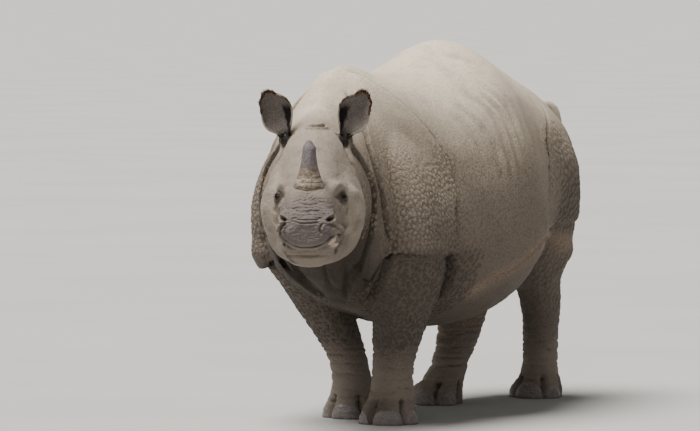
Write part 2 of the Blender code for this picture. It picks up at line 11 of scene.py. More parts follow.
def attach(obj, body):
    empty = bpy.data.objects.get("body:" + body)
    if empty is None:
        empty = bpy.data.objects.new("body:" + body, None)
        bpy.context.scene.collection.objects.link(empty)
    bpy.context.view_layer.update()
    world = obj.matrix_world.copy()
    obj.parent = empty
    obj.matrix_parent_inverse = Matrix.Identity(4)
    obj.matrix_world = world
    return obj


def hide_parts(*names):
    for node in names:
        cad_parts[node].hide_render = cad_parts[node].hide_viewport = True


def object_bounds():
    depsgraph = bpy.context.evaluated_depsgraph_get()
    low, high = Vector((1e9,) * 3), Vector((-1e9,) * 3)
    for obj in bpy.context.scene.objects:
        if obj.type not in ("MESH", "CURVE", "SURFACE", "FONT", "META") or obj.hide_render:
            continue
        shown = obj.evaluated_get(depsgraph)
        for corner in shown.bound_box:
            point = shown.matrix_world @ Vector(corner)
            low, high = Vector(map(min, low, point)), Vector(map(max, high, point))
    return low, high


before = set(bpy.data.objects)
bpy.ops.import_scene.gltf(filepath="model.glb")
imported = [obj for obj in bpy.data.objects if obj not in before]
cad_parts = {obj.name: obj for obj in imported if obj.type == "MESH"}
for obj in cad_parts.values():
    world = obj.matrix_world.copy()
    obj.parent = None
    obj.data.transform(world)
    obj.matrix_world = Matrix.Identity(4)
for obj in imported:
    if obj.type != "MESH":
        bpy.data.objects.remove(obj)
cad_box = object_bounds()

# Greater one-horned rhinoceros, life size. The hide is shaped on the straight body, head towards
# -Y and the animal's left towards +X, then the neck is turned and the body set over the origin.

# ---- sizes of the body --------------------------------------------------
# Most are the sizes of the solids. The hide lies deeper at the lower ends of the shoulder shields and
# at the top of the left foreleg, and the stalks of the ears are its own.
BEND_START = -0.90
BEND_END = -1.45
HEAD_TURN = math.radians(28.0)
POLL = -1.44
STAND = np.array([-0.00125664, 0.53849223, 0.0])  # from the straight body to the origin

# Sections of the trunk: place along, top, bottom, half width, widest level, fullness above and below
TRUNK = (
    (-1.62, 1.27, 0.93, 0.150, 1.10, 1.90, 2.0),
    (-1.45, 1.36, 0.84, 0.205, 1.07, 1.75, 2.0),
    (-1.28, 1.465, 0.72, 0.260, 1.03, 1.60, 2.0),
    (-1.12, 1.560, 0.60, 0.320, 0.98, 1.55, 2.1),
    (-0.97, 1.607, 0.53, 0.385, 0.94, 1.60, 2.1),
    (-0.80, 1.575, 0.48, 0.430, 0.92, 1.75, 2.1),
    (-0.58, 1.575, 0.42, 0.490, 0.88, 1.85, 2.0),
    (-0.33, 1.645, 0.39, 0.545, 0.86, 1.90, 2.0),
    (-0.10, 1.712, 0.41, 0.540, 0.88, 1.85, 2.0),
    (0.10, 1.652, 0.475, 0.470, 0.92, 1.85, 2.0),
    (0.30, 1.572, 0.585, 0.415, 1.00, 1.95, 2.0),
    (0.50, 1.503, 0.71, 0.370, 1.05, 1.95, 2.0),
    (0.66, 1.425, 0.82, 0.300, 1.08, 2.0, 2.0),
    (0.77, 1.330, 0.94, 0.190, 1.10, 2.0, 2.0),
    (0.82, 1.240, 1.03, 0.080, 1.12, 2.0, 2.0),
)
# The same for the skull and the jaw, with the place along counted forward from the poll
SKULL = (
    (-0.10, 1.28, 0.90, 0.150, 1.10, 2.2, 2.0),
    (0.00, 1.345, 0.82, 0.195, 1.02, 2.4, 2.2),
    (0.10, 1.310, 0.79, 0.217, 0.97, 2.0, 2.5),
    (0.20, 1.240, 0.785, 0.204, 0.96, 2.1, 2.5),
    (0.30, 1.170, 0.795, 0.168, 0.965, 2.2, 2.3),
    (0.38, 1.132, 0.83, 0.142, 0.97, 2.4, 2.2),
    (0.46, 1.110, 0.855, 0.124, 0.96, 2.6, 2.5),
    (0.54, 1.077, 0.858, 0.121, 0.945, 2.5, 2.6),
    (0.605, 1.012, 0.853, 0.112, 0.93, 2.3, 2.5),
    (0.648, 0.955, 0.870, 0.075, 0.92, 2.1, 2.2),
)
JAW = (
    (-0.05, 0.98, 0.86, 0.110, 0.93, 2.1, 2.0),
    (0.05, 1.02, 0.80, 0.196, 0.91, 2.1, 2.3),
    (0.18, 1.00, 0.762, 0.196, 0.88, 2.1, 2.4),
    (0.32, 0.97, 0.755, 0.150, 0.86, 2.1, 2.2),
    (0.44, 0.93, 0.758, 0.122, 0.85, 2.2, 2.2),
    (0.53, 0.89, 0.775, 0.110, 0.85, 2.2, 2.2),
    (0.585, 0.870, 0.805, 0.075, 0.84, 2.1, 2.1),
)
# Sections of shields and legs: centre across and along, height, half width, half length
FORE_SHIELD_LEFT = (
    (0.13, -0.87, 1.42, 0.08, 0.14),
    (0.235, -0.87, 1.20, 0.130, 0.24),
    (0.305, -0.900, 0.98, 0.158, 0.215),
    (0.325, -0.922, 0.84, 0.160, 0.180),
    (0.325, -0.925, 0.785, 0.156, 0.168),
    (0.318, -0.925, 0.752, 0.132, 0.145),
)
FORE_SHIELD_RIGHT = (
    (-0.13, -0.88, 1.42, 0.08, 0.14),
    (-0.230, -0.89, 1.20, 0.125, 0.23),
    (-0.288, -0.90, 0.98, 0.136, 0.24),
    (-0.290, -0.90, 0.84, 0.134, 0.235),
    (-0.284, -0.90, 0.730, 0.126, 0.222),
    (-0.272, -0.90, 0.690, 0.098, 0.185),
)
RUMP_SHIELD_LEFT = (
    (0.14, 0.34, 1.38, 0.12, 0.24),
    (0.206, 0.372, 1.14, 0.190, 0.283),
    (0.222, 0.397, 0.94, 0.181, 0.254),
    (0.217, 0.415, 0.81, 0.158, 0.226),
    (0.202, 0.428, 0.735, 0.138, 0.202),
)
RUMP_SHIELD_RIGHT = (
    (-0.14, 0.32, 1.38, 0.12, 0.24),
    (-0.210, 0.35, 1.14, 0.190, 0.29),
    (-0.235, 0.37, 0.92, 0.180, 0.265),
    (-0.240, 0.37, 0.80, 0.172, 0.245),
    (-0.233, 0.37, 0.735, 0.158, 0.225),
)
FORE_LEFT = (
    (0.305, -0.88, 0.98, 0.135, 0.18),
    (0.300, -0.87, 0.78, 0.130, 0.165),
    (0.243, -0.825, 0.60, 0.135, 0.150),
    (0.197, -0.815, 0.42, 0.115, 0.118),
    (0.166, -0.81, 0.24, 0.093, 0.094),
    (0.158, -0.815, 0.12, 0.098, 0.102),
    (0.155, -0.83, 0.05, 0.114, 0.122),
    (0.155, -0.83, 0.00, 0.118, 0.128),
)
FORE_RIGHT = (
    (-0.285, -0.90, 0.95, 0.130, 0.20),
    (-0.285, -0.89, 0.74, 0.126, 0.180),
    (-0.245, -0.82, 0.58, 0.118, 0.142),
    (-0.188, -0.725, 0.40, 0.103, 0.112),
    (-0.148, -0.668, 0.23, 0.086, 0.090),
    (-0.138, -0.660, 0.12, 0.096, 0.100),
    (-0.131, -0.667, 0.05, 0.114, 0.122),
    (-0.130, -0.667, 0.00, 0.118, 0.128),
)
HIND_LEFT = (
    (0.220, 0.42, 0.90, 0.150, 0.22),
    (0.212, 0.45, 0.70, 0.138, 0.200),
    (0.190, 0.46, 0.615, 0.125, 0.160),
    (0.185, 0.48, 0.570, 0.112, 0.140),
    (0.170, 0.54, 0.530, 0.094, 0.122),
    (0.150, 0.600, 0.45, 0.087, 0.114),
    (0.128, 0.64, 0.28, 0.082, 0.095),
    (0.118, 0.65, 0.13, 0.088, 0.098),
    (0.115, 0.638, 0.05, 0.108, 0.116),
    (0.115, 0.635, 0.00, 0.112, 0.122),
)
HIND_RIGHT = (
    (-0.225, 0.35, 0.90, 0.150, 0.22),
    (-0.223, 0.37, 0.70, 0.140, 0.22),
    (-0.218, 0.40, 0.60, 0.132, 0.215),
    (-0.205, 0.44, 0.50, 0.106, 0.200),
    (-0.182, 0.425, 0.42, 0.092, 0.180),
    (-0.155, 0.345, 0.30, 0.082, 0.142),
    (-0.130, 0.19, 0.15, 0.086, 0.105),
    (-0.126, 0.10, 0.05, 0.110, 0.124),
    (-0.126, 0.09, 0.00, 0.114, 0.128),
)
# Centre line of the tail with its half width and half depth
TAIL = (
    (0.000, 0.68, 1.335, 0.046, 0.046),
    (0.030, 0.79, 1.372, 0.038, 0.038),
    (0.052, 0.880, 1.365, 0.032, 0.032),
    (0.060, 0.918, 1.290, 0.027, 0.027),
    (0.052, 0.915, 1.120, 0.023, 0.023),
    (0.040, 0.905, 0.900, 0.020, 0.020),
)
HORN_ROOT = 0.44
# Sections of the horn: lean forward, height, half width, half length
HORN = (
    (0.000, 1.070, 0.066, 0.080),
    (0.002, 1.110, 0.063, 0.077),
    (0.004, 1.140, 0.052, 0.064),
    (0.004, 1.180, 0.040, 0.049),
    (0.000, 1.240, 0.030, 0.036),
    (-0.008, 1.285, 0.024, 0.028),
    (-0.012, 1.302, 0.014, 0.016),
)
EYE_RADIUS = 0.021
EYE = (0.133, 0.337, 1.050)
EAR_BASE = (0.128, 0.005, 1.285)
EAR_HEIGHT = 0.225
# Cup of an ear: share of its height, inner edge, outer edge, half of the arc it wraps in degrees
EAR_OUTLINE = (
    (0.00, -0.022, 0.022, 150.0),
    (0.10, -0.028, 0.036, 128.0),
    (0.20, -0.036, 0.062, 112.0),
    (0.35, -0.047, 0.077, 98.0),
    (0.50, -0.053, 0.080, 90.0),
    (0.65, -0.055, 0.078, 84.0),
    (0.80, -0.047, 0.076, 78.0),
    (0.93, -0.028, 0.075, 74.0),
    (1.00, -0.002, 0.064, 70.0),
)
EAR_LEAN = math.radians(13.0)
# Sections of an ear's stalk: height, half width, half depth
EAR_STALK = (
    (-0.08, 0.040, 0.036),
    (-0.02, 0.036, 0.028),
    (0.01, 0.032, 0.022),
    (0.028, 0.022, 0.014),
    (0.034, 0.012, 0.008),
)
# Each foot: place, heading in degrees, half width and half length of the sole
FEET = {
    "fore_left": (0.155, -0.83, 27.0, 0.118, 0.128),
    "fore_right": (-0.130, -0.667, 14.0, 0.118, 0.128),
    "hind_left": (0.115, 0.635, 6.0, 0.112, 0.122),
    "hind_right": (-0.126, 0.09, -8.0, 0.114, 0.128),
}
LEGS = {
    "fore_left": FORE_LEFT, "fore_right": FORE_RIGHT, "hind_left": HIND_LEFT, "hind_right": HIND_RIGHT
}
NAIL_THICKNESS = 0.032
NAIL_INSET = 0.013
# Each nail: turn from the middle of the foot in degrees, half width, height
NAILS = {
    "nail_mid": (0.0, 0.068, 0.074),
    "nail_outer": (62.0, 0.046, 0.066),
    "nail_inner": (-62.0, 0.046, 0.066),
}

# ---- sizes of the hide --------------------------------------------------
SKIN_VOXEL = 0.0068
SKIN_SMOOTHING = 12
FACE_TRIANGLES = 56000
HEAD_TRIANGLES = 26000
BODY_TRIANGLES = 88000
TUBERCLE_SPACING = 0.024
FLOOR_SNAP = 0.012  # hide lower than this lies flat on the floor


# ---- small helpers ------------------------------------------------------
def smoothstep(low, high, value):
    f = np.clip((value - low) / (high - low), 0.0, 1.0)
    return f * f * (3.0 - 2.0 * f)


def bell(value):
    return np.exp(-value * value)


def curve_through(table, count):
    """Rows on a smooth curve through the rows of a table."""
    table = np.array(table, float)
    steps = np.sqrt((np.diff(table[:, :3], axis=0) ** 2).sum(1))
    along = np.concatenate([[0.0], np.cumsum(steps)])
    slope = np.gradient(table, along, axis=0)
    place = np.linspace(0.0, along[-1], count)
    k = np.clip(np.searchsorted(along, place, side="right") - 1, 0, len(table) - 2)
    width = (along[k + 1] - along[k])[:, None]
    f = (place - along[k])[:, None] / width
    near, far = table[k], table[k + 1]
    leave, arrive = slope[k] * width, slope[k + 1] * width
    out = (2 * f**3 - 3 * f**2 + 1) * near + (f**3 - 2 * f**2 + f) * leave
    return out + (3 * f**2 - 2 * f**3) * far + (f**3 - f**2) * arrive


def round_angles(count):
    return np.linspace(0.0, 2.0 * math.pi, count, endpoint=False)


def body_ring(y, top, bottom, half, widest, above, below, count=64):
    c, s = np.cos(round_angles(count)), np.sin(round_angles(count))
    power = np.where(s >= 0, above, below)
    reach = np.where(s >= 0, top - widest, widest - bottom)
    x = half * np.sign(c) * np.abs(c) ** (2 / power)
    z = widest + reach * np.sign(s) * np.abs(s) ** (2 / power)
    return np.stack([x, np.full(count, y), z], 1)


def leg_ring(x, y, z, half_width, half_length, power=2.2, count=48):
    c, s = np.cos(round_angles(count)), np.sin(round_angles(count))
    across = x + half_width * np.sign(c) * np.abs(c) ** (2 / power)
    along = y + half_length * np.sign(s) * np.abs(s) ** (2 / power)
    return np.stack([across, along, np.full(count, z)], 1)


def new_object(name, points, faces, closed=True):
    mesh = bpy.data.meshes.new(name)
    mesh.from_pydata([tuple(p) for p in points], [], faces)
    if closed:
        bm = bmesh.new()
        bm.from_mesh(mesh)
        bmesh.ops.recalc_face_normals(bm, faces=bm.faces)
        bm.to_mesh(mesh)
        bm.free()
    obj = bpy.data.objects.new(name, mesh)
    bpy.context.collection.objects.link(obj)
    return obj


def loft(name, rings):
    """Closed solid through a row of rings."""
    count, last = len(rings[0]), len(rings) - 1
    faces = []
    for i in range(last):
        for k in range(count):
            m = (k + 1) % count
            faces.append((i * count + k, i * count + m, (i + 1) * count + m, (i + 1) * count + k))
    faces.append(tuple(range(count)))
    faces.append(tuple(last * count + k for k in range(count)))
    return new_object(name, np.concatenate(rings), faces)


def deselect():
    if bpy.context.object and bpy.context.object.mode != "OBJECT":
        bpy.ops.object.mode_set(mode="OBJECT")
    bpy.ops.object.select_all(action="DESELECT")


def pick(obj):
    deselect()
    obj.select_set(True)
    bpy.context.view_layer.objects.active = obj


def use_modifier(obj, kind, **values):
    pick(obj)
    modifier = obj.modifiers.new(kind, kind)
    for key, value in values.items():
        setattr(modifier, key, value)
    bpy.ops.object.modifier_apply(modifier=modifier.name)


def join(objects, name):
    deselect()
    for obj in objects:
        obj.select_set(True)
    bpy.context.view_layer.objects.active = objects[0]
    bpy.ops.object.join()
    objects[0].name = name
    return objects[0]


def read_points(obj):
    flat = np.empty(len(obj.data.vertices) * 3)
    obj.data.vertices.foreach_get("co", flat)
    return flat.reshape(-1, 3)


def read_normals(obj):
    flat = np.empty(len(obj.data.vertices) * 3)
    obj.data.vertices.foreach_get("normal", flat)
    return flat.reshape(-1, 3)


def place_points(obj, points):
    obj.data.vertices.foreach_set("co", np.ascontiguousarray(points, dtype=float).ravel())
    obj.data.update()


def turn_neck(points):
    """Turns the straight body to the left between the shoulders and the poll."""
    span = BEND_START - BEND_END
    s = np.linspace(0.0, 3.0 * span, 600)
    f = np.clip(s / span, 0.0, 1.0)
    heading = HEAD_TURN * f * f * (3.0 - 2.0 * f)
    step = np.diff(s)
    sine, cosine = np.sin(heading), np.cos(heading)
    x = np.concatenate([[0.0], np.cumsum((sine[1:] + sine[:-1]) / 2 * step)])
    y = BEND_START - np.concatenate([[0.0], np.cumsum((cosine[1:] + cosine[:-1]) / 2 * step)])
    out = np.array(points, float)
    ahead = out[:, 1] < BEND_START
    distance = BEND_START - out[ahead, 1]
    across = out[ahead, 0].copy()
    turn = np.interp(distance, s, heading)
    out[ahead, 0] = np.interp(distance, s, x) + across * np.cos(turn)
    out[ahead, 1] = np.interp(distance, s, y) + across * np.sin(turn)
    return out


def set_in_place(obj):
    """From the straight body to the animal as it stands, inside the room the solids take."""
    points = turn_neck(read_points(obj)) + STAND
    place_points(obj, np.clip(points, np.array(cad_box[0]), np.array(cad_box[1])))
    return obj


def smooth_shaded(obj):
    obj.data.polygons.foreach_set("use_smooth", [True] * len(obj.data.polygons))
    return obj


def hashed(cells):
    """A random number from 0 to 1 for each cell of a lattice."""
    c = cells.astype(np.int64)
    h = (c[:, 0] * 73856093) ^ (c[:, 1] * 19349663) ^ (c[:, 2] * 83492791)
    h = (h ^ (h >> 13)) * 1274126177 & 0x7FFFFFFF
    h = (h ^ (h >> 16)) * 668265263 & 0x7FFFFFFF
    return h / 0x7FFFFFFF


def noise(points, size, seed=0):
    """Smooth random field from -1 to 1 in blobs of one size."""
    p = points / size + seed * 17.31
    cell = np.floor(p)
    f = p - cell
    f = f * f * (3.0 - 2.0 * f)
    total = np.zeros(len(points))
    for corner in product((0, 1), repeat=3):
        weight = np.prod(np.where(corner, f, 1.0 - f), axis=1)
        total += weight * hashed(cell + np.array(corner))
    return 2.0 * total - 1.0


def wrinkles(points, sizes, seed=0):
    """Irregular wrinkles: 1 along the bottom of each, 0 between them."""
    p = points / np.array(sizes)
    warp = 0.35 * np.stack([noise(p, 2.0, seed + 3), noise(p, 2.0, seed + 4), noise(p, 2.0, seed + 5)], 1)
    return np.maximum(0.0, 1.0 - 3.2 * np.abs(noise(p + warp, 1.0, seed))) ** 1.5


# ---- shaping of the hide ------------------------------------------------
class Clay:
    """The hide on the straight body while its folds are pressed into it."""

    def __init__(self, obj):
        self.obj = obj
        self.refresh()

    def refresh(self):
        self.points = read_points(self.obj)
        self.normals = read_normals(self.obj)
        self.push = np.zeros((len(self.points), 3))

    def settle(self):
        """Moves the hide by what has been pressed so far."""
        place_points(self.obj, self.points + self.push)
        self.refresh()

    def relax(self, weight, rounds, factor=0.5):
        """Smooths the hide where the weight is high."""
        self.obj.vertex_groups.clear()
        group = self.obj.vertex_groups.new(name="relax")
        for level in (0.25, 0.5, 0.75, 1.0):
            chosen = np.flatnonzero((weight > level - 0.25) & (weight <= level))
            group.add(chosen.tolist(), level, "REPLACE")
        use_modifier(self.obj, "SMOOTH", factor=factor, iterations=rounds, vertex_group="relax")
        self.obj.vertex_groups.clear()
        self.refresh()

    def near(self, path, reach):
        """Points near a path: which they are, how far across it they lie, how far from it, how far
        along it, and the direction across it."""
        low, high = path.min(0) - reach, path.max(0) + reach
        chosen = np.flatnonzero(((self.points > low) & (self.points < high)).all(1))
        p, n = self.points[chosen], self.normals[chosen]
        best = np.full(len(p), 99.0)
        away = np.zeros((len(p), 3))
        heading = np.zeros((len(p), 3))
        along = np.zeros(len(p))
        steps = len(path) - 1
        for k in range(steps):
            leg = path[k + 1] - path[k]
            length = math.sqrt(float(leg @ leg)) + 1e-9
            offset = p - path[k]
            f = np.clip(offset @ leg / length**2, 0.0, 1.0)
            gap = offset - f[:, None] * leg
            d = np.sqrt((gap**2).sum(1))
            closer = d < best
            best[closer] = d[closer]
            away[closer] = gap[closer]
            heading[closer] = leg / length
            along[closer] = (k + f[closer]) / steps
        close = best < reach
        chosen, best, away, along = chosen[close], best[close], away[close], along[close]
        side = np.cross(heading[close], n[close])
        side /= np.sqrt((side**2).sum(1))[:, None] + 1e-9
        facing = (away * side).sum(1)
        signed = np.sign(facing) * np.sqrt(np.maximum(best**2 - (away * n[close]).sum(1) ** 2, facing**2))
        return chosen, signed, best, along, side

    def plate(self, path, lift=0.02, depth=0.015, reach=0.05, width=0.012, over=0.0, side=1.0, ends=0.12):
        """Edge of a plate of hide: raised on one side of the path and hanging over a crease."""
        chosen, across, far, along, aside = self.near(path, max(3.0 * reach, 6.0 * width))
        across = across * side
        wobble = noise(self.points[chosen], 0.05, 3) * 0.25 * width
        across = across + wobble
        fade = smoothstep(0.0, ends, along) * smoothstep(0.0, ends, 1.0 - along)
        step = smoothstep(-0.2, 1.0, across / width)
        raised = lift * step * np.exp(-np.maximum(across, 0.0) / reach) * bell(far / (2.4 * reach))
        sunk = depth * bell((across + 0.5 * width) / width)
        lip = over * step * np.exp(-np.maximum(across, 0.0) / (0.5 * reach)) * fade
        self.push[chosen] += self.normals[chosen] * ((raised - sunk) * fade)[:, None]
        self.push[chosen] -= aside * (lip * side)[:, None]

    def groove(self, path, depth=0.004, width=0.006, rim=0.3, ends=0.2, wander=0.0):
        """A wrinkle: a narrow groove with low swollen rims."""
        chosen, across, _, along, _ = self.near(path, 5.0 * width + wander)
        if wander:
            across = across + wander * noise(self.points[chosen], 7.0 * width, 7)
        fade = smoothstep(0.0, ends, along) * smoothstep(0.0, ends, 1.0 - along)
        cut = -depth * bell(across / width)
        swell = rim * depth * bell((np.abs(across) - 2.1 * width) / width)
        self.push[chosen] += self.normals[chosen] * ((cut + swell) * fade)[:, None]

    def roll(self, path, height=0.01, width=0.03, ends=0.2):
        """A long soft swelling."""
        chosen, _, far, along, _ = self.near(path, 2.5 * width)
        fade = smoothstep(0.0, ends, along) * smoothstep(0.0, ends, 1.0 - along)
        self.push[chosen] += self.normals[chosen] * (height * bell(far / width) * fade)[:, None]

    def swell(self, centre, radii, height, toward=None):
        """A rounded bump, or a hollow where the height is negative."""
        p = (self.points - np.array(centre)) / np.array(radii)
        chosen = np.flatnonzero((p**2).sum(1) < 9.0)
        amount = height * np.exp(-((p[chosen] ** 2).sum(1)))
        heading = self.normals[chosen] if toward is None else np.array(toward) / np.linalg.norm(toward)
        self.push[chosen] += heading * amount[:, None]

    def weigh(self, amount):
        """Pushes the hide outwards by an amount at each point."""
        self.push += self.normals * amount[:, None]

    def surface(self):
        return BVHTree.FromPolygons(
            [tuple(p) for p in self.points], [tuple(f.vertices) for f in self.obj.data.polygons]
        )


def mirrored(path):
    return np.array(path, float) * np.array([-1.0, 1.0, 1.0])


def dense(path, count=28):
    return curve_through(path, count)


def folds_of(side):
    """Draws the paths of the left side, or the same paths turned over for the right."""
    return dense if side > 0 else lambda table: mirrored(dense(table))


def on_front(tree, path, count=24):
    """Places on the face under a path of (across, height), looked at from ahead."""
    path = curve_through([(x, 0.0, z) for x, z in path], count)
    found = []
    for x, _, z in path:
        hit = tree.ray_cast(Vector((x, -3.0, z)), Vector((0.0, 1.0, 0.0)))[0]
        if hit:
            found.append(tuple(hit))
    return np.array(found)


def on_side(tree, path, side, count=24):
    """Places on the flank under a path of (along, height), looked at from one side."""
    path = curve_through([(0.0, y, z) for y, z in path], count)
    found = []
    for _, y, z in path:
        hit = tree.ray_cast(Vector((side * 2.0, y, z)), Vector((-side, 0.0, 0.0)))[0]
        if hit:
            found.append(tuple(hit))
    return np.array(found)


def snapped(tree, path, count=24):
    """Places on the hide nearest to a path."""
    return np.array([tuple(tree.find_nearest(Vector(spot))[0]) for spot in curve_through(path, count)])


def refine(obj, wanted):
    """Splits every edge between wanted points in two."""
    chosen = wanted(read_points(obj))
    bm = bmesh.new()
    bm.from_mesh(obj.data)
    bm.verts.ensure_lookup_table()
    edges = [e for e in bm.edges if chosen[e.verts[0].index] and chosen[e.verts[1].index]]
    bmesh.ops.subdivide_edges(bm, edges=edges, cuts=1, use_grid_fill=True)
    bm.to_mesh(obj.data)
    bm.free()
    obj.data.update()


# Folds of the left side, on the straight body: points across, along and up
SHIELD_EDGE = (
    (0.030, -1.020, 1.585), (0.107, -0.984, 1.545), (0.211, -0.880, 1.451), (0.314, -0.794, 1.321),
    (0.403, -0.735, 1.160), (0.440, -0.730, 1.040), (0.465, -0.765, 0.930), (0.470, -0.800, 0.850),
    (0.462, -0.850, 0.790), (0.462, -0.978, 0.780), (0.396, -1.075, 0.785), (0.307, -1.105, 0.785),
    (0.266, -1.130, 0.765), (0.211, -1.128, 0.695), (0.140, -1.065, 0.602),
)
SHIELD_EDGE_RIGHT = (
    (-0.030, -1.020, 1.585), (-0.107, -0.984, 1.545), (-0.211, -0.880, 1.451), (-0.314, -0.794, 1.321),
    (-0.390, -0.735, 1.160), (-0.410, -0.700, 1.040), (-0.415, -0.700, 0.930), (-0.410, -0.720, 0.800),
    (-0.395, -0.780, 0.715), (-0.388, -0.900, 0.705), (-0.370, -1.000, 0.710), (-0.320, -1.090, 0.720),
    (-0.245, -1.130, 0.720), (-0.205, -1.125, 0.690), (-0.140, -1.065, 0.602),
)
SHOULDER_STRIP = (
    (0.200, -0.960, 1.440), (0.310, -0.880, 1.300), (0.385, -0.835, 1.150), (0.420, -0.840, 1.020),
    (0.445, -0.890, 0.930),
)
SHOULDER_FRONT = (
    (0.080, -1.150, 1.500), (0.173, -1.176, 1.368), (0.208, -1.211, 1.281), (0.244, -1.237, 1.172),
    (0.270, -1.228, 1.084), (0.285, -1.209, 0.996), (0.292, -1.170, 0.906), (0.300, -1.115, 0.816),
)
NECK_RIDGE = (
    (0.100, -1.470, 1.370), (0.153, -1.440, 1.310), (0.175, -1.405, 1.240), (0.216, -1.348, 1.162),
    (0.243, -1.305, 1.100), (0.252, -1.300, 1.030), (0.246, -1.290, 0.950), (0.225, -1.250, 0.850),
    (0.170, -1.190, 0.740), (0.080, -1.130, 0.640),
)
BIB = (
    (0.129, -1.282, 0.764), (0.114, -1.171, 0.660), (0.063, -1.033, 0.562),
)
ARM_BACK = ((-0.760, 0.765), (-0.735, 0.710), (-0.705, 0.650), (-0.695, 0.590), (-0.705, 0.530))
ARM_FRONT = ((0.300, -1.100, 0.790), (0.245, -1.050, 0.700), (0.195, -1.000, 0.620), (0.150, -0.950, 0.560))
LOIN = (
    (-0.010, -0.215, 1.690), (0.028, -0.244, 1.673), (0.083, -0.275, 1.651), (0.128, -0.270, 1.638),
    (0.162, -0.238, 1.633), (0.216, -0.203, 1.610), (0.263, -0.146, 1.582),
)
HIP = (
    (0.200, 0.420, 1.480), (0.295, 0.374, 1.376), (0.390, 0.207, 1.242), (0.441, 0.133, 1.107),
    (0.490, 0.030, 0.977), (0.500, -0.020, 0.900), (0.505, -0.080, 0.820),
)
FLANK_FOLD = (
    (0.400, 0.330, 0.760), (0.440, 0.150, 0.790), (0.500, 0.000, 0.800), (0.525, -0.120, 0.770),
    (0.516, -0.253, 0.704), (0.478, -0.390, 0.652), (0.400, -0.500, 0.580),
)
KNEE_FOLD = ((0.400, 0.330, 0.760), (0.360, 0.480, 0.750), (0.280, 0.600, 0.760))
THIGH_FOLD = (
    (0.440, 0.060, 0.850), (0.420, 0.200, 0.850), (0.410, 0.350, 0.845), (0.370, 0.520, 0.850),
    (0.280, 0.660, 0.880),
)
THIGH_ROLL = (
    (0.180, 0.340, 0.600), (0.240, 0.419, 0.570), (0.314, 0.437, 0.578), (0.345, 0.468, 0.620),
    (0.340, 0.560, 0.680), (0.250, 0.660, 0.720),
)
RIBS = (
    (
        (0.240, -0.445, 1.530), (0.308, -0.403, 1.464), (0.396, -0.337, 1.373), (0.468, -0.326, 1.238),
        (0.516, -0.338, 1.080), (0.533, -0.359, 0.968),
    ),
    (
        (0.250, -0.360, 1.545), (0.326, -0.324, 1.472), (0.406, -0.260, 1.380), (0.477, -0.257, 1.236),
        (0.518, -0.266, 1.100), (0.525, -0.280, 0.980),
    ),
    (
        (0.250, -0.300, 1.555), (0.332, -0.260, 1.484), (0.411, -0.195, 1.383), (0.472, -0.192, 1.256),
        (0.496, -0.189, 1.150),
    ),
    (
        (0.230, -0.530, 1.500), (0.311, -0.500, 1.421), (0.394, -0.445, 1.330), (0.461, -0.406, 1.217),
        (0.503, -0.408, 1.083), (0.520, -0.420, 0.960),
    ),
    (
        (0.260, -0.215, 1.560), (0.340, -0.170, 1.470), (0.412, -0.110, 1.370), (0.465, -0.100, 1.260),
        (0.480, -0.100, 1.160),
    ),
    (
        (0.240, -0.610, 1.470), (0.320, -0.580, 1.390), (0.395, -0.530, 1.290), (0.450, -0.500, 1.180),
        (0.480, -0.500, 1.070),
    ),
)
CLEAR_RIBS = 4  # the first of them show most


def base_skin():
    """The whole body in one closed hide, straight and still plain."""
    solids = [loft("trunk", [body_ring(*row) for row in curve_through(TRUNK, 60)])]
    for name, table in (("skull", SKULL), ("jaw", JAW)):
        solids.append(loft(name, [body_ring(POLL - row[0], *row[1:]) for row in curve_through(table, 40)]))
    for table in LEGS.values():
        solids.append(loft("leg", [leg_ring(*row) for row in curve_through(table, 40)]))
    for table in (FORE_SHIELD_LEFT, FORE_SHIELD_RIGHT, RUMP_SHIELD_LEFT, RUMP_SHIELD_RIGHT):
        solids.append(loft("shield", [leg_ring(*row, 2.5) for row in curve_through(table, 28)]))
    solids.append(tail_solid())
    for side in (1.0, -1.0):
        solids.append(ear_stalk(side))
    skin = join(solids, "skin")
    use_modifier(skin, "REMESH", mode="VOXEL", voxel_size=SKIN_VOXEL)
    use_modifier(skin, "SMOOTH", factor=0.5, iterations=SKIN_SMOOTHING)
    return skin


def tail_solid():
    rows = curve_through(TAIL, 40)
    side = np.array([1.0, 0.0, 0.0])
    rings = []
    for i, row in enumerate(rows):
        ahead = rows[min(i + 1, len(rows) - 1)][:3] - rows[max(i - 1, 0)][:3]
        up = np.cross(ahead, side)
        up = up / np.linalg.norm(up)
        c, s = np.cos(round_angles(24)), np.sin(round_angles(24))
        rings.append(row[:3] + np.outer(c, side) * row[3] + np.outer(s, up) * row[4])
    return loft("tail_solid", rings)


def lean_ear(points, side):
    """From an ear standing over the origin to its place on the straight head."""
    lean = EAR_LEAN * side
    x = points[:, 0] * math.cos(lean) + points[:, 2] * math.sin(lean)
    z = points[:, 2] * math.cos(lean) - points[:, 0] * math.sin(lean)
    return np.stack([x + EAR_BASE[0] * side, points[:, 1] + POLL - EAR_BASE[1], z + EAR_BASE[2]], 1)


def ear_stalk(side):
    """Foot of an ear, which the hide of the head runs up into."""
    rings = [leg_ring(0.0, 0.006, *row, 2.0, 24) for row in EAR_STALK]
    return loft("ear_stalk", [lean_ear(ring, side) for ring in rings])


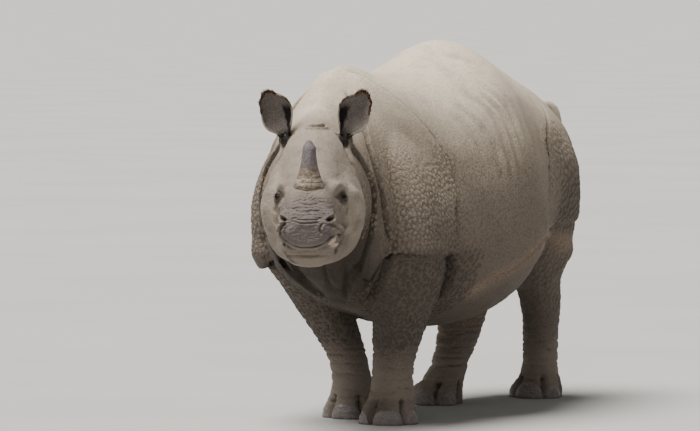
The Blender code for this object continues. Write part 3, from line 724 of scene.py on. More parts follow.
# Edges of the plates of hide: path, how far it stands out, depth of the crease beside it, how far the
# plate swells, width of the step, overhang, and the raised side: 1 to the left of the path, -1 to the right
BODY_PLATES = (
    (SHOULDER_FRONT, 0.016, 0.018, 0.050, 0.013, 0.008, -1.0),
    (NECK_RIDGE, 0.020, 0.022, 0.030, 0.012, 0.010, -1.0),
    (BIB, 0.010, 0.014, 0.040, 0.014, 0.0, -1.0),
    (HIP, 0.014, 0.012, 0.055, 0.016, 0.006, 1.0),
    (FLANK_FOLD, 0.010, 0.010, 0.050, 0.016, 0.0, 1.0),
    (THIGH_FOLD, 0.014, 0.014, 0.050, 0.014, 0.010, -1.0),
)
SHIELD_STEPS = 56
SHIELD_BEND = 30  # step at which the shield's edge turns from its back to its hem
RUMP_HEM = 0.80


def shield_edge(side):
    return dense(SHIELD_EDGE if side > 0 else SHIELD_EDGE_RIGHT, SHIELD_STEPS)


def shape_body(clay):
    """Plates, folds and wrinkles of the trunk and legs."""
    for side in (1.0, -1.0):
        fold = folds_of(side)
        edge = shield_edge(side)
        clay.plate(edge[:SHIELD_BEND], 0.022, 0.020, 0.060, 0.014, over=0.018, side=side, ends=0.10)
        clay.plate(edge[SHIELD_BEND - 4:], 0.026, 0.036, 0.045, 0.014, over=0.026, side=side, ends=0.10)
        for path, lift, depth, reach, width, over, raised in BODY_PLATES:
            clay.plate(fold(path), lift, depth, reach, width, over, raised * side)
        clay.roll(fold(SHOULDER_STRIP), height=0.006, width=0.03)
        clay.roll(fold(THIGH_ROLL), height=0.012, width=0.04)
    clay.settle()
    for side in (1.0, -1.0):
        fold = folds_of(side)
        for k, rib in enumerate(RIBS):
            depth = 0.0042 if k < CLEAR_RIBS else 0.0030
            clay.groove(fold(rib), depth=depth, width=0.017, rim=0.9, ends=0.35)
        clay.plate(fold(LOIN), 0.010, 0.006, 0.050, 0.024, side=-side, ends=0.35)
    clay.settle()
    tree = clay.surface()
    for side in (1.0, -1.0):
        clay.plate(on_side(tree, ARM_BACK, side), 0.016, 0.050, 0.05, 0.026, side=side)
        front = ARM_FRONT if side > 0 else mirrored(ARM_FRONT)
        clay.plate(snapped(tree, front), 0.014, 0.040, 0.05, 0.024, side=-side)
    clay.settle()
    x, y, z = np.abs(clay.points[:, 0]), clay.points[:, 1], clay.points[:, 2]
    hem = bell((z - RUMP_HEM) / 0.13) * smoothstep(0.22, 0.32, y) * smoothstep(0.12, 0.20, x)
    clay.relax(hem, 36)


# Features of the head's left side, on the straight body: points across, along and up
BROW = (0.108, -1.775, 1.096)
BROW_CREASE = (
    (0.124, -1.768, 1.108), (0.136, -1.760, 1.099), (0.145, -1.750, 1.086), (0.150, -1.745, 1.072),
)
TEAR_LINES = (
    ((0.119, -1.870, 1.040), (0.131, -1.845, 1.012), (0.145, -1.808, 0.988), (0.153, -1.784, 0.955)),
    ((0.112, -1.925, 1.035), (0.124, -1.887, 1.005), (0.135, -1.847, 0.977)),
    ((0.148, -1.740, 1.022), (0.156, -1.752, 1.000), (0.158, -1.765, 0.976)),
)
NOSTRIL = ((0.114, -2.009, 0.982), (0.075, -2.067, 0.963))
NOSTRIL_FOLD_LEFT = (
    (0.075, -2.067, 0.963), (0.063, -2.081, 0.947), (0.059, -2.087, 0.926), (0.067, -2.085, 0.905),
)
NOSTRIL_FOLD_RIGHT = ((-0.082, -2.063, 0.963), (-0.095, -2.058, 0.946), (-0.104, -2.050, 0.925))
CHEEK_CREASE = (
    (0.100, -2.045, 0.962), (0.118, -1.960, 0.945), (0.130, -1.860, 0.925), (0.143, -1.775, 0.890),
)
LIP_EDGE = (
    (0.146, -1.745, 0.886), (0.139, -1.800, 0.902), (0.130, -1.880, 0.914), (0.122, -1.960, 0.917),
    (0.113, -2.030, 0.913), (0.101, -2.056, 0.903), (0.087, -2.066, 0.884), (0.066, -2.068, 0.868),
    (0.035, -2.064, 0.859), (0.000, -2.062, 0.857),
)
LIP_EDGE_RIGHT = (
    (-0.030, -2.063, 0.858), (-0.055, -2.066, 0.865), (-0.078, -2.064, 0.880), (-0.094, -2.056, 0.900),
    (-0.108, -2.038, 0.920), (-0.122, -1.960, 0.920), (-0.130, -1.880, 0.914), (-0.139, -1.800, 0.902),
    (-0.146, -1.745, 0.886),
)
LIP_EDGE_FULL = LIP_EDGE + LIP_EDGE_RIGHT
LIP_STEPS = 64
LIP_CORNER = (
    (0.139, -1.774, 0.896), (0.143, -1.763, 0.874), (0.133, -1.814, 0.851), (0.122, -1.858, 0.828),
    (0.111, -1.883, 0.805),
)
UNDER_LIP = ((0.100, -1.965, 0.820), (0.060, -2.015, 0.818), (0.000, -2.026, 0.817))
LOWER_LIP = ((0.112, -1.930, 0.868), (0.075, -2.020, 0.848), (0.000, -2.045, 0.838))
CHEEK_RIDGE = (
    (0.165, -1.700, 1.105), (0.192, -1.668, 1.054), (0.194, -1.677, 0.994), (0.182, -1.680, 0.930),
    (0.160, -1.700, 0.870),
)
CHEEK_HOLLOW = ((0.158, -1.760, 1.020), (0.155, -1.780, 0.980), (0.158, -1.750, 0.920))
CHEEK_BACK = (
    (0.125, -1.475, 1.300), (0.150, -1.515, 1.250), (0.180, -1.530, 1.200), (0.206, -1.490, 1.150),
    (0.222, -1.440, 1.090), (0.226, -1.415, 1.030), (0.215, -1.400, 0.950), (0.180, -1.390, 0.870),
)
# Wrinkles over the front of the snout: points across and up
SNOUT_LINES = (
    ((-0.078, 0.966), (-0.040, 0.962), (0.000, 0.961), (0.040, 0.962), (0.078, 0.966)),
    ((-0.076, 0.978), (-0.030, 0.975), (0.030, 0.975), (0.076, 0.978)),
    ((-0.078, 0.991), (-0.030, 0.991), (0.030, 0.992), (0.078, 0.989)),
    ((-0.076, 1.001), (-0.040, 1.008), (0.000, 1.005), (0.040, 1.008), (0.076, 1.001)),
    ((-0.072, 1.014), (-0.040, 1.022), (0.000, 1.019), (0.045, 1.022), (0.074, 1.012)),
    ((-0.066, 1.026), (-0.038, 1.036), (0.000, 1.033), (0.036, 1.036), (0.068, 1.024)),
    ((-0.062, 1.040), (-0.044, 1.050), (-0.018, 1.057)),
    ((0.020, 1.057), (0.048, 1.050), (0.068, 1.038)),
    ((-0.033, 1.073), (-0.012, 1.060), (0.004, 1.068), (0.014, 1.060), (0.035, 1.075)),
    ((-0.028, 1.060), (-0.010, 1.047), (0.003, 1.055), (0.016, 1.047), (0.038, 1.063)),
    ((-0.022, 1.086), (-0.008, 1.076), (0.006, 1.080), (0.022, 1.086)),
)
POLL_LINE = (
    (-0.036, -1.450, 1.352), (-0.012, -1.474, 1.344), (0.018, -1.471, 1.344), (0.052, -1.438, 1.354),
)
POLL_RIDGE = (
    (-0.075, -1.430, 1.345), (-0.045, -1.398, 1.382), (0.000, -1.356, 1.420), (0.045, -1.350, 1.400),
    (0.090, -1.380, 1.355),
)
MUZZLE_LEFT = (
    (0.095, -2.060, 0.950), (0.118, -2.020, 0.938), (0.132, -1.900, 0.920), (0.143, -1.790, 0.889),
    (0.144, -1.780, 0.867),
)
MUZZLE_RIGHT = (
    (-0.092, -2.059, 0.957), (-0.106, -2.052, 0.928), (-0.104, -2.039, 0.892), (-0.097, -1.984, 0.861),
)
CHIN_LEFT = ((0.138, -1.802, 0.843), (0.119, -1.845, 0.810), (0.099, -1.800, 0.775))
CHIN_RIGHT = ((-0.104, -1.976, 0.853), (-0.086, -1.995, 0.819), (-0.052, -1.969, 0.782))
# Creases beside the mouth: path, depth, width and how dark with painted shade and mud
MOUTH_CREASES = (
    (MUZZLE_LEFT, 0.013, 0.0085, 0.95),
    (MUZZLE_RIGHT, 0.012, 0.0080, 0.95),
    (CHIN_LEFT, 0.008, 0.008, 0.8),
    (CHIN_RIGHT, 0.008, 0.007, 0.8),
)
EAR_GUTTER = (
    (0.147, -1.452, 1.304), (0.144, -1.461, 1.292), (0.138, -1.469, 1.280), (0.133, -1.476, 1.272),
)
LIP_BULGE = ((0.098, -2.015, 0.868), (0.112, -1.985, 0.874), (0.120, -1.950, 0.882))
# Bumps and hollows of the face's left side: centre, radii and height
FACE_FORMS = (
    ((0.112, -1.812, 1.064), (0.032, 0.040, 0.013), -0.014),  # under the brow
    ((0.100, -1.730, 1.135), (0.040, 0.060, 0.018), -0.007),  # above the brow
    ((0.200, -1.620, 1.010), (0.06, 0.07, 0.09), 0.020),  # cheek
    ((0.150, -1.840, 0.965), (0.028, 0.070, 0.050), -0.016),  # before the cheek
    ((0.150, -1.830, 0.850), (0.05, 0.08, 0.06), -0.026),  # beside the chin
    ((0.185, -1.700, 0.860), (0.05, 0.08, 0.06), -0.016),  # under the cheek
    ((0.175, -1.700, 1.170), (0.05, 0.09, 0.045), -0.014),  # behind the brow
    ((0.105, -2.020, 0.935), (0.030, 0.050, 0.024), 0.008),  # under the nostril
    ((0.140, -1.620, 1.205), (0.05, 0.09, 0.055), -0.015),  # temple
    ((0.078, -1.830, 1.105), (0.018, 0.050, 0.035), -0.009),  # between brow and nose
    ((0.122, -1.865, 1.045), (0.028, 0.055, 0.032), -0.011),  # before the eye
    ((0.098, -2.030, 0.985), (0.030, 0.035, 0.024), 0.009),  # above the nostril
    ((0.118, -1.930, 0.965), (0.03, 0.05, 0.022), -0.006),  # behind the nostril
)
MIDDLE_FORMS = (
    ((0.0, -1.885, 1.098), (0.085, 0.075, 0.035), 0.009),  # bridge of the nose
    ((0.0, -1.640, 1.270), (0.10, 0.10, 0.06), -0.006),  # forehead
)
GAZE = np.array([0.84, -0.53, 0.12])
LID_LENGTH = 0.0200
LID_HEIGHT = 0.0155
LID_TILT = math.radians(20.0)
LID_GAP = 0.0030  # room between the eyeball and the lids


def both_sides(table):
    """A path that ends at the middle of the body, carried on over the other side."""
    left = dense(table, 24)
    return np.concatenate([left, mirrored(left[::-1])[1:]])


def shape_head(clay):
    """Brows, lids, nostrils, lips, wrinkles of the snout and the folds behind the cheeks."""
    for side in (1.0, -1.0):
        fold = folds_of(side)
        here = np.array([side, 1.0, 1.0])
        clay.swell(BROW * here, (0.034, 0.044, 0.026), 0.046, (0.35 * side, -0.85, 0.35))
        for centre, radii, height in FACE_FORMS:
            clay.swell(centre * here, radii, height)
        clay.roll(fold(CHEEK_RIDGE), height=0.018, width=0.026)
        clay.groove(fold(CHEEK_HOLLOW), depth=0.014, width=0.022, rim=0.0)
        clay.plate(fold(CHEEK_BACK), 0.006, 0.026, 0.03, 0.013, over=0.006, side=side)
    for centre, radii, height in MIDDLE_FORMS:
        clay.swell(centre, radii, height)
    clay.plate(dense(LIP_EDGE_FULL, LIP_STEPS), 0.008, 0.018, 0.022, 0.0070, over=0.009, ends=0.04)
    clay.roll(both_sides(LOWER_LIP), height=0.010, width=0.020, ends=0.1)
    clay.roll(dense(POLL_RIDGE), height=0.008, width=0.022)
    clay.swell(LIP_BULGE[1], (0.034, 0.050, 0.021), 0.032, (0.9, -0.4, 0.1))
    clay.settle()
    tree = clay.surface()
    for k, line in enumerate(SNOUT_LINES):
        path = on_front(tree, line)
        clay.groove(path, depth=0.0044 if k == 0 else 0.0019, width=0.0032, rim=0.5, wander=0.0055)
    clay.groove(dense(POLL_LINE), depth=0.011, width=0.0065, rim=0.8)
    slit = dense(LIP_EDGE_FULL, LIP_STEPS) + np.array([0.0, 0.004, -0.0075])
    slit = slit[np.abs(slit[:, 0] - 0.005) < 0.085]
    clay.groove(slit, depth=0.015, width=0.0062, rim=0.0, ends=0.3)
    clay.groove(both_sides(UNDER_LIP), depth=0.008, width=0.006, rim=0.2)
    for side in (1.0, -1.0):
        fold = folds_of(side)
        clay.groove(fold(BROW_CREASE), depth=0.009, width=0.006, rim=0.3)
        for line in TEAR_LINES:
            clay.groove(fold(line), depth=0.0035, width=0.0036, rim=0.4, wander=0.002)
        clay.groove(fold(CHEEK_CREASE), depth=0.009, width=0.008, rim=0.3)
        clay.groove(fold(LIP_CORNER), depth=0.008, width=0.009, rim=0.3)
    tree = clay.surface()
    for line, depth, width, _ in MOUTH_CREASES:
        clay.groove(snapped(tree, line), depth=depth, width=width, rim=0.5, ends=0.12, wander=0.003)
    clay.groove(dense(NOSTRIL_FOLD_LEFT), depth=0.006, width=0.005, rim=0.5, wander=0.003)
    clay.groove(dense(NOSTRIL_FOLD_RIGHT), depth=0.007, width=0.006, rim=0.4, wander=0.003)
    clay.settle()
    for side in (1.0, -1.0):
        shape_nostril(clay, side)
        shape_lids(clay, side)
    clay.settle()


def shape_nostril(clay, side):
    outer, inner = (np.array(p) * np.array([side, 1.0, 1.0]) for p in NOSTRIL)
    middle = (outer + inner) / 2
    along = (inner - outer) / np.linalg.norm(inner - outer)
    facing = np.array([side * 0.50, -0.82, 0.20])
    facing = facing - (facing @ along) * along
    facing = facing / np.linalg.norm(facing)
    across = np.cross(facing, along)
    offset = clay.points - middle
    chosen = np.flatnonzero((offset**2).sum(1) < 0.06**2)
    offset = offset[chosen]
    r = np.sqrt(((offset @ along) / 0.023) ** 2 + ((offset @ across) / 0.0095) ** 2)
    pit = -0.030 * smoothstep(1.12, 0.55, r) + 0.0040 * bell((r - 1.6) / 0.4)
    clay.push[chosen] += facing * pit[:, None]


def eye_frame(side):
    """Centre of an eye and its directions: towards the nose, up, and outwards."""
    centre = np.array([EYE[0] * side, POLL - EYE[1], EYE[2]])
    out = GAZE * np.array([side, 1.0, 1.0])
    out = out / np.linalg.norm(out)
    up = np.array([0.0, 0.0, 1.0]) - out[2] * out
    up = up / np.linalg.norm(up)
    nose = np.cross(up, out) * side
    c, s = math.cos(LID_TILT), math.sin(LID_TILT)
    return centre, nose * c - up * s, up * c + nose * s, out


def shape_lids(clay, side):
    """Lids that lie on the eyeball round an almond opening, with the creases above and below."""
    centre, nose, up, out = eye_frame(side)
    offset = clay.points - centre
    chosen = np.flatnonzero(((offset**2).sum(1) < 0.075**2) & (offset @ out > -0.004))
    a, b, h = offset[chosen] @ nose, offset[chosen] @ up, offset[chosen] @ out
    r = np.sqrt((a / LID_LENGTH) ** 2 + (b / LID_HEIGHT) ** 2)
    ball = EYE_RADIUS + LID_GAP
    lid = ball * np.sqrt(1.0 - np.minimum(np.sqrt(a**2 + b**2) / ball, 0.88) ** 2)
    amount = smoothstep(2.6, 1.2, r)
    shaped = h + (lid - h) * amount
    shaped -= 0.014 * smoothstep(1.02, 0.72, r)
    shaped += 0.0016 * bell((r - 1.15) / 0.13)
    above = smoothstep(-0.2, 0.4, b / LID_HEIGHT)
    shaped -= 0.0032 * bell((r - 1.75) / 0.16) * above + 0.0022 * bell((r - 2.4) / 0.16) * above
    shaped -= (0.0022 * bell((r - 1.8) / 0.16) + 0.0018 * bell((r - 2.5) / 0.18)) * (1.0 - above)
    clay.push[chosen] += out * (shaped - h)[:, None]


CLEFT_TOP = 0.125
CLEFT_TURNS = (-34.0, 34.0, -98.0, 98.0)  # degrees from the middle of the foot
TOE_LEVEL = 0.055
TOE_RADIUS = 0.045


def toe_clefts(clay):
    """Grooves down the front of each foot between its nails."""
    for leg, (x, y, heading, foot_width, foot_length) in FEET.items():
        rows = [row for row in curve_through(LEGS[leg], 120) if row[2] < CLEFT_TOP]
        for turn in CLEFT_TURNS:
            angle = math.radians(heading + turn)
            path = [(r[0] + r[3] * math.sin(angle), r[1] - r[4] * math.cos(angle), r[2]) for r in rows]
            clay.groove(np.array(path), depth=0.018, width=0.011, rim=0.25, ends=0.3)
        for turn, _, _ in NAILS.values():
            angle = math.radians(heading + turn)
            toe = (x + foot_width * math.sin(angle), y - foot_length * math.cos(angle), TOE_LEVEL)
            clay.swell(toe, (TOE_RADIUS,) * 3, 0.010, (math.sin(angle), -math.cos(angle), 0.3))


def body_texture(clay):
    """Lumps and wrinkles big enough to be part of the shape."""
    toe_clefts(clay)
    clay.settle()
    p = clay.points
    x, y, z = np.abs(p[:, 0]), p[:, 1], p[:, 2]
    body = smoothstep(POLL - 0.02, POLL + 0.10, y)
    lumps = 0.0035 * noise(p, 0.16, 1) + 0.0018 * noise(p, 0.06, 2)
    push = lumps * smoothstep(0.03, 0.12, z) * (0.3 + 0.7 * body)
    shank = smoothstep(0.04, 0.10, z) * smoothstep(0.50, 0.30, z)
    push -= 0.0060 * wrinkles(p, (0.26, 0.26, 0.024), 21) * shank
    push -= 0.0036 * wrinkles(p, (0.18, 0.18, 0.014), 23) * shank
    lower_leg = smoothstep(0.04, 0.2, z) * smoothstep(0.75, 0.45, z)
    push -= 0.0030 * wrinkles(p, (0.10, 0.10, 0.030), 25) * lower_leg
    neck = smoothstep(-1.08, -1.20, y) * smoothstep(POLL - 0.16, POLL - 0.02, y) * smoothstep(1.42, 1.20, z)
    push -= 0.0050 * wrinkles(p, (0.045, 0.045, 0.16), 31) * neck
    chest = smoothstep(-0.98, -1.08, y) * (1.0 - smoothstep(-1.34, -1.40, y))
    chest = chest * smoothstep(0.24, 0.16, x) * smoothstep(0.95, 0.80, z)
    push -= 0.0130 * wrinkles(p, (0.075, 0.30, 0.30), 33) * chest
    flank = smoothstep(-0.75, -0.60, y) * smoothstep(0.20, 0.05, y)
    flank = flank * smoothstep(0.60, 0.80, z) * smoothstep(1.55, 1.35, z)
    push -= 0.0022 * wrinkles(p, (0.12, 0.055, 0.20), 35) * flank
    snout = smoothstep(POLL - 0.47, POLL - 0.56, y) * smoothstep(0.85, 0.88, z) * smoothstep(1.11, 1.06, z)
    push -= 0.0030 * wrinkles(p, (0.060, 0.060, 0.0125), 41) * snout * smoothstep(0.940, 0.965, z)
    push -= 0.0022 * wrinkles(p, (0.024, 0.024, 0.015), 43) * snout * smoothstep(0.965, 0.940, z)
    push -= 0.0016 * wrinkles(p, (0.016, 0.016, 0.010), 45) * snout
    face = (1.0 - body) * (1.0 - snout)
    push -= 0.0016 * wrinkles(p, (0.040, 0.050, 0.040), 51) * face
    under_eye = bell((y + 1.82) / 0.07) * bell((z - 0.995) / 0.035) * smoothstep(0.09, 0.12, x)
    push -= 0.0030 * wrinkles(p, (0.020, 0.020, 0.030), 55) * under_eye
    chin = (1.0 - body) * smoothstep(0.86, 0.83, z)
    push -= 0.0012 * wrinkles(p, (0.060, 0.060, 0.020), 57) * chin
    clay.weigh(push)
    clay.settle()
    p = clay.points
    p[:, 2] = np.where(p[:, 2] < FLOOR_SNAP, 0.0, p[:, 2])
    place_points(clay.obj, p)


def pebbling(p):
    """Where the hide carries large round studs, from 0 to 1."""
    x, y, z = np.abs(p[:, 0]), p[:, 1], p[:, 2]
    soft = 0.05 * noise(p, 0.18, 81) + 0.03 * noise(p, 0.07, 82)
    shoulder = smoothstep(-1.21, -1.10, y + soft) * smoothstep(-0.66, -0.74, y + 0.3 * soft)
    shoulder = shoulder * smoothstep(1.30, 0.98, z + 2.0 * soft) * smoothstep(0.72, 0.80, z)
    foreleg = smoothstep(-1.10, -1.0, y) * smoothstep(-0.52, -0.66, y + soft)
    foreleg = foreleg * smoothstep(0.26, 0.46, z + soft) * smoothstep(0.84, 0.76, z)
    rump = smoothstep(0.02, 0.34, y + soft) * smoothstep(1.38, 1.05, z + 2.0 * soft)
    rump = rump * smoothstep(0.74, 0.84, z)
    hind = 0.6 * smoothstep(0.06, 0.26, y + soft)
    hind = hind * smoothstep(0.36, 0.55, z + soft) * smoothstep(0.80, 0.70, z)
    neck = 0.35 * smoothstep(-1.16, -1.26, y) * smoothstep(-1.50, -1.38, y)
    neck = neck * smoothstep(1.25, 1.10, z) * smoothstep(0.75, 0.90, z)
    body = smoothstep(0.84, 0.80, y) * smoothstep(0.03, 0.08, x)
    return np.clip(np.maximum.reduce([shoulder, foreleg, rump, hind, neck]) * body, 0.0, 1.0)


def near_face(p):
    """The snout, the lips and the eyes, which need the finest hide."""
    snout = (p[:, 1] < POLL - 0.50) & (p[:, 2] > 0.80) & (p[:, 2] < 1.10)
    lips = (p[:, 1] < POLL - 0.30) & (np.abs(p[:, 2] - 0.89) < 0.045)
    eyes = np.zeros(len(p), bool)
    for side in (1.0, -1.0):
        centre = eye_frame(side)[0]
        eyes |= ((p - centre) ** 2).sum(1) < 0.06**2
    return snout | lips | eyes


def thin_out(skin, wanted, kept):
    """Thins the faces between wanted points until a number of them are left."""
    chosen = wanted(read_points(skin))
    corners = np.empty(len(skin.data.polygons) * 3, np.int64)
    skin.data.polygons.foreach_get("vertices", corners)
    inside = int(chosen[corners.reshape(-1, 3)].all(1).sum())
    if inside <= kept:
        return
    skin.vertex_groups.clear()
    group = skin.vertex_groups.new(name="thin")
    group.add(np.flatnonzero(chosen).tolist(), 1.0, "REPLACE")
    ratio = 1.0 - (inside - kept) / len(skin.data.polygons)
    use_modifier(skin, "DECIMATE", ratio=ratio, vertex_group="thin", vertex_group_factor=1.0)
    skin.vertex_groups.clear()


def keep_detail(skin):
    """Thins the hide, least where it is finely shaped."""
    use_modifier(skin, "TRIANGULATE")
    thin_out(skin, near_face, FACE_TRIANGLES)
    thin_out(skin, lambda p: (p[:, 1] < POLL + 0.02) & ~near_face(p), HEAD_TRIANGLES)
    thin_out(skin, lambda p: p[:, 1] >= POLL + 0.02, BODY_TRIANGLES)


def make_skin():
    skin = base_skin()
    refine(skin, lambda p: p[:, 1] < POLL + 0.02)
    refine(skin, near_face)
    use_modifier(skin, "SMOOTH", factor=0.5, iterations=2)
    clay = Clay(skin)
    shape_body(clay)
    shape_head(clay)
    body_texture(clay)
    keep_detail(skin)
    for side in (1.0, -1.0):
        ear = ear_cup(side)
        use_modifier(skin, "BOOLEAN", object=ear, operation="UNION", solver="EXACT")
        bpy.data.objects.remove(ear)
    use_modifier(skin, "TRIANGULATE")
    return skin


# ---- ears, eyes, horn, nails and hair -----------------------------------
EAR_ROWS = 40
EAR_COLUMNS = 44
EAR_SHEET = 0.0075
EAR_REACH = 0.009  # hide this near to the middle of the sheet belongs to the ear
EAR_FOOT = 0.022  # start of the cup above the stalk's root
EAR_DEPTH = 0.70  # depth of the cup over its half width
EAR_RIM_DROP = 0.022  # fall of the rim beside the tip
EAR_FOOT_PATH = ((-0.006, -0.022, 0.0), (-0.010, -0.018, 0.03), (-0.012, -0.022, 0.06))


def ear_place(side, h, t):
    """A place on the ear's sheet: h from root to tip, t from the inner rim, -1, to the outer rim, 1."""
    table = np.array(EAR_OUTLINE)
    rows = np.array(curve_through([(r[0], 0.0, 0.0, *r[1:]) for r in table], 200))
    inner, outer, arc = (np.interp(h, rows[:, 0], rows[:, k]) for k in (3, 4, 5))
    middle, half, arc = (inner + outer) / 2, (outer - inner) / 2, np.radians(arc)
    turn = arc * t
    x = middle + half * np.sin(turn) / np.sin(np.minimum(arc, math.pi / 2))
    y = half * EAR_DEPTH * np.cos(turn)
    rise = EAR_FOOT + (EAR_HEIGHT - EAR_FOOT) * h - EAR_RIM_DROP * h * t * t
    return np.stack([x * side, y, rise], -1)


def ear_sheet(side):
    """Points and faces of the rolled sheet of an ear on the straight head."""
    t = np.linspace(-1.0, 1.0, EAR_COLUMNS)
    rows = [ear_place(side, np.full(EAR_COLUMNS, i / (EAR_ROWS - 1)), t) for i in range(EAR_ROWS)]
    faces = []
    for i in range(EAR_ROWS - 1):
        for k in range(EAR_COLUMNS - 1):
            m = i * EAR_COLUMNS + k
            faces.append((m, m + 1, m + 1 + EAR_COLUMNS, m + EAR_COLUMNS))
    sheet = np.concatenate(rows)
    sheet = sheet + 0.0012 * np.stack([noise(sheet, 0.03, s) for s in (4, 5, 6)], 1)
    return lean_ear(sheet, side), faces


def ear_cup(side):
    """Rolled sheet of an ear, open to the front, with a thick rim."""
    ear = new_object("ear_cup", *ear_sheet(side), False)
    use_modifier(ear, "SOLIDIFY", thickness=EAR_SHEET, offset=0.0)
    sharp = math.radians(60.0)
    use_modifier(ear, "BEVEL", width=0.0028, segments=2, limit_method="ANGLE", angle_limit=sharp)
    use_modifier(ear, "TRIANGULATE")
    pick(ear)
    bpy.ops.object.mode_set(mode="EDIT")
    bpy.ops.mesh.select_all(action="SELECT")
    bpy.ops.mesh.normals_make_consistent(inside=False)
    bpy.ops.object.mode_set(mode="OBJECT")
    return ear


def make_eye(side):
    """Eyeball with a slightly raised cornea."""
    centre, _, _, out = eye_frame(side)
    deselect()
    bpy.ops.mesh.primitive_uv_sphere_add(segments=40, ring_count=24, radius=EYE_RADIUS)
    eye = bpy.context.object
    eye.name = "eyeball_left" if side > 0 else "eyeball_right"
    p = read_points(eye)
    toward = p @ out / EYE_RADIUS
    p = p * (1.0 + 0.045 * smoothstep(0.80, 0.95, toward))[:, None]
    write_attributes(eye, {"gaze": toward})
    place_points(eye, p + centre)
    return smooth_shaded(set_in_place(eye))


HORN_COLUMNS = 96
HORN_ROWS = 150
HORN_CAP = 0.0085  # height of the rounded tip
CAP_RINGS = ((0.85, 0.0035), (0.6, 0.0065), (0.3, HORN_CAP))  # share of the tip's width, and height
# Frayed collars round the horn's root: top, fades above and below it, thickness, how ragged
COLLARS = (
    (1.128, 0.004, 0.002, 0.0042, 1.0),
    (1.112, 0.004, 0.002, 0.0030, -0.7),
    (1.150, 0.006, 0.004, 0.0022, 1.3),
)


def at_height(flat, height):
    """Flat points set at one height."""
    return np.concatenate([flat, np.full((len(flat), 1), height)], 1)


def make_horn():
    """Blunt cone of packed fibres with a frayed collar at its root."""
    profile = curve_through(HORN, HORN_ROWS)
    angle = round_angles(HORN_COLUMNS)
    direction = np.stack([np.cos(angle), np.sin(angle)], 1)
    ragged = 0.006 * noise(at_height(direction, 0.0), 0.4, 9)
    ragged = ragged + 0.003 * noise(at_height(direction, 1.0), 0.15, 8)
    rings = []
    for forward, z, half_width, half_length in profile:
        spot = at_height(direction * 0.06, z * 0.25)
        fibre = 0.0009 * noise(spot, 0.008, 3) + 0.0005 * noise(spot, 0.004, 5)
        collar = np.zeros(HORN_COLUMNS)
        for top, fade, sink, thickness, frayed in COLLARS:
            collar = collar + thickness * smoothstep(top + fade, top - sink, z + frayed * ragged)
        place = at_height(direction * 0.05, z)
        pits = 0.0016 * noise(place, 0.007, 2) * smoothstep(1.20, 1.165, z)
        swell = fibre + collar + pits + 0.0012 * noise(place, 0.03, 6) - 0.006 * smoothstep(1.16, 1.11, z)
        x = direction[:, 0] * (half_width + swell)
        y = POLL - HORN_ROOT - forward + direction[:, 1] * (half_length + swell)
        rings.append(at_height(np.stack([x, y], 1), z))
    tip = profile[-1][1]
    for share, rise in CAP_RINGS:
        ring = rings[HORN_ROWS - 1].copy()
        middle = ring.mean(0)
        ring = middle + (ring - middle) * share
        ring[:, 2] = tip + rise - HORN_CAP
        rings.append(ring)
    for ring in rings[:HORN_ROWS]:
        ring[:, 2] -= HORN_CAP * smoothstep(1.25, tip, ring[:, 2])
    horn = loft("horn_detail", rings)
    p = read_points(horn)
    angle = np.arctan2(p[:, 1] - POLL + HORN_ROOT, p[:, 0])
    spot = at_height(np.stack([np.cos(angle), np.sin(angle)], 1), 0.0)
    wave = 0.004 * noise(spot, 0.35, 9) + 0.002 * noise(spot, 0.12, 8)
    upper = bell((p[:, 2] + wave - 1.136) / 0.0042)
    lower = bell((p[:, 2] - 0.7 * wave - 1.120) / 0.0032)
    write_attributes(horn, {"level": (p[:, 2] - 1.10) / 0.202, "ring": upper + 0.8 * lower})
    return smooth_shaded(set_in_place(horn))


def make_nail(leg, nail):
    """Worn nail set in the front of a toe, with growth lines across it."""
    x, y, heading, foot_width, foot_length = FEET[leg]
    turn, half_width, height = NAILS[nail]
    angle = math.radians(heading + turn)
    reach = 0.5 * (foot_width + foot_length) - NAIL_INSET
    centre = np.array([x + reach * math.sin(angle), y - reach * math.cos(angle), 0.0])
    deselect()
    bpy.ops.mesh.primitive_uv_sphere_add(segments=56, ring_count=40, radius=1.0)
    piece = bpy.context.object
    piece.name = leg + "_" + nail + "_detail"
    bpy.ops.object.mode_set(mode="EDIT")
    bpy.ops.mesh.select_all(action="SELECT")
    floor_side = (0.0, 0.0, -1.0)
    bpy.ops.mesh.bisect(plane_co=(0.0, 0.0, 0.0), plane_no=floor_side, clear_outer=True, use_fill=True)
    bpy.ops.object.mode_set(mode="OBJECT")
    p = read_points(piece)
    squared = np.sign(p) * np.abs(p) ** np.array([0.80, 1.0, 0.85])
    p = np.where(p[:, 2:] > 0.001, squared, p)
    p = p * np.array([half_width, NAIL_THICKNESS, height])
    c, s = math.cos(angle), math.sin(angle)
    turned = np.stack([p[:, 0] * c - p[:, 1] * s, p[:, 0] * s + p[:, 1] * c, p[:, 2]], 1) + centre
    lines = 0.0010 * np.sin(p[:, 2] / 0.0042 + 2.0 * noise(turned, 0.04, 3))
    lines = lines + 0.0016 * noise(turned, 0.018, 4)
    outward = np.array([s, -c, 0.0])
    turned = turned + outward * (lines * smoothstep(0.002, 0.01, p[:, 2]))[:, None]
    turned[:, 2] = np.maximum(turned[:, 2], 0.0)
    place_points(piece, turned)
    return smooth_shaded(set_in_place(piece))


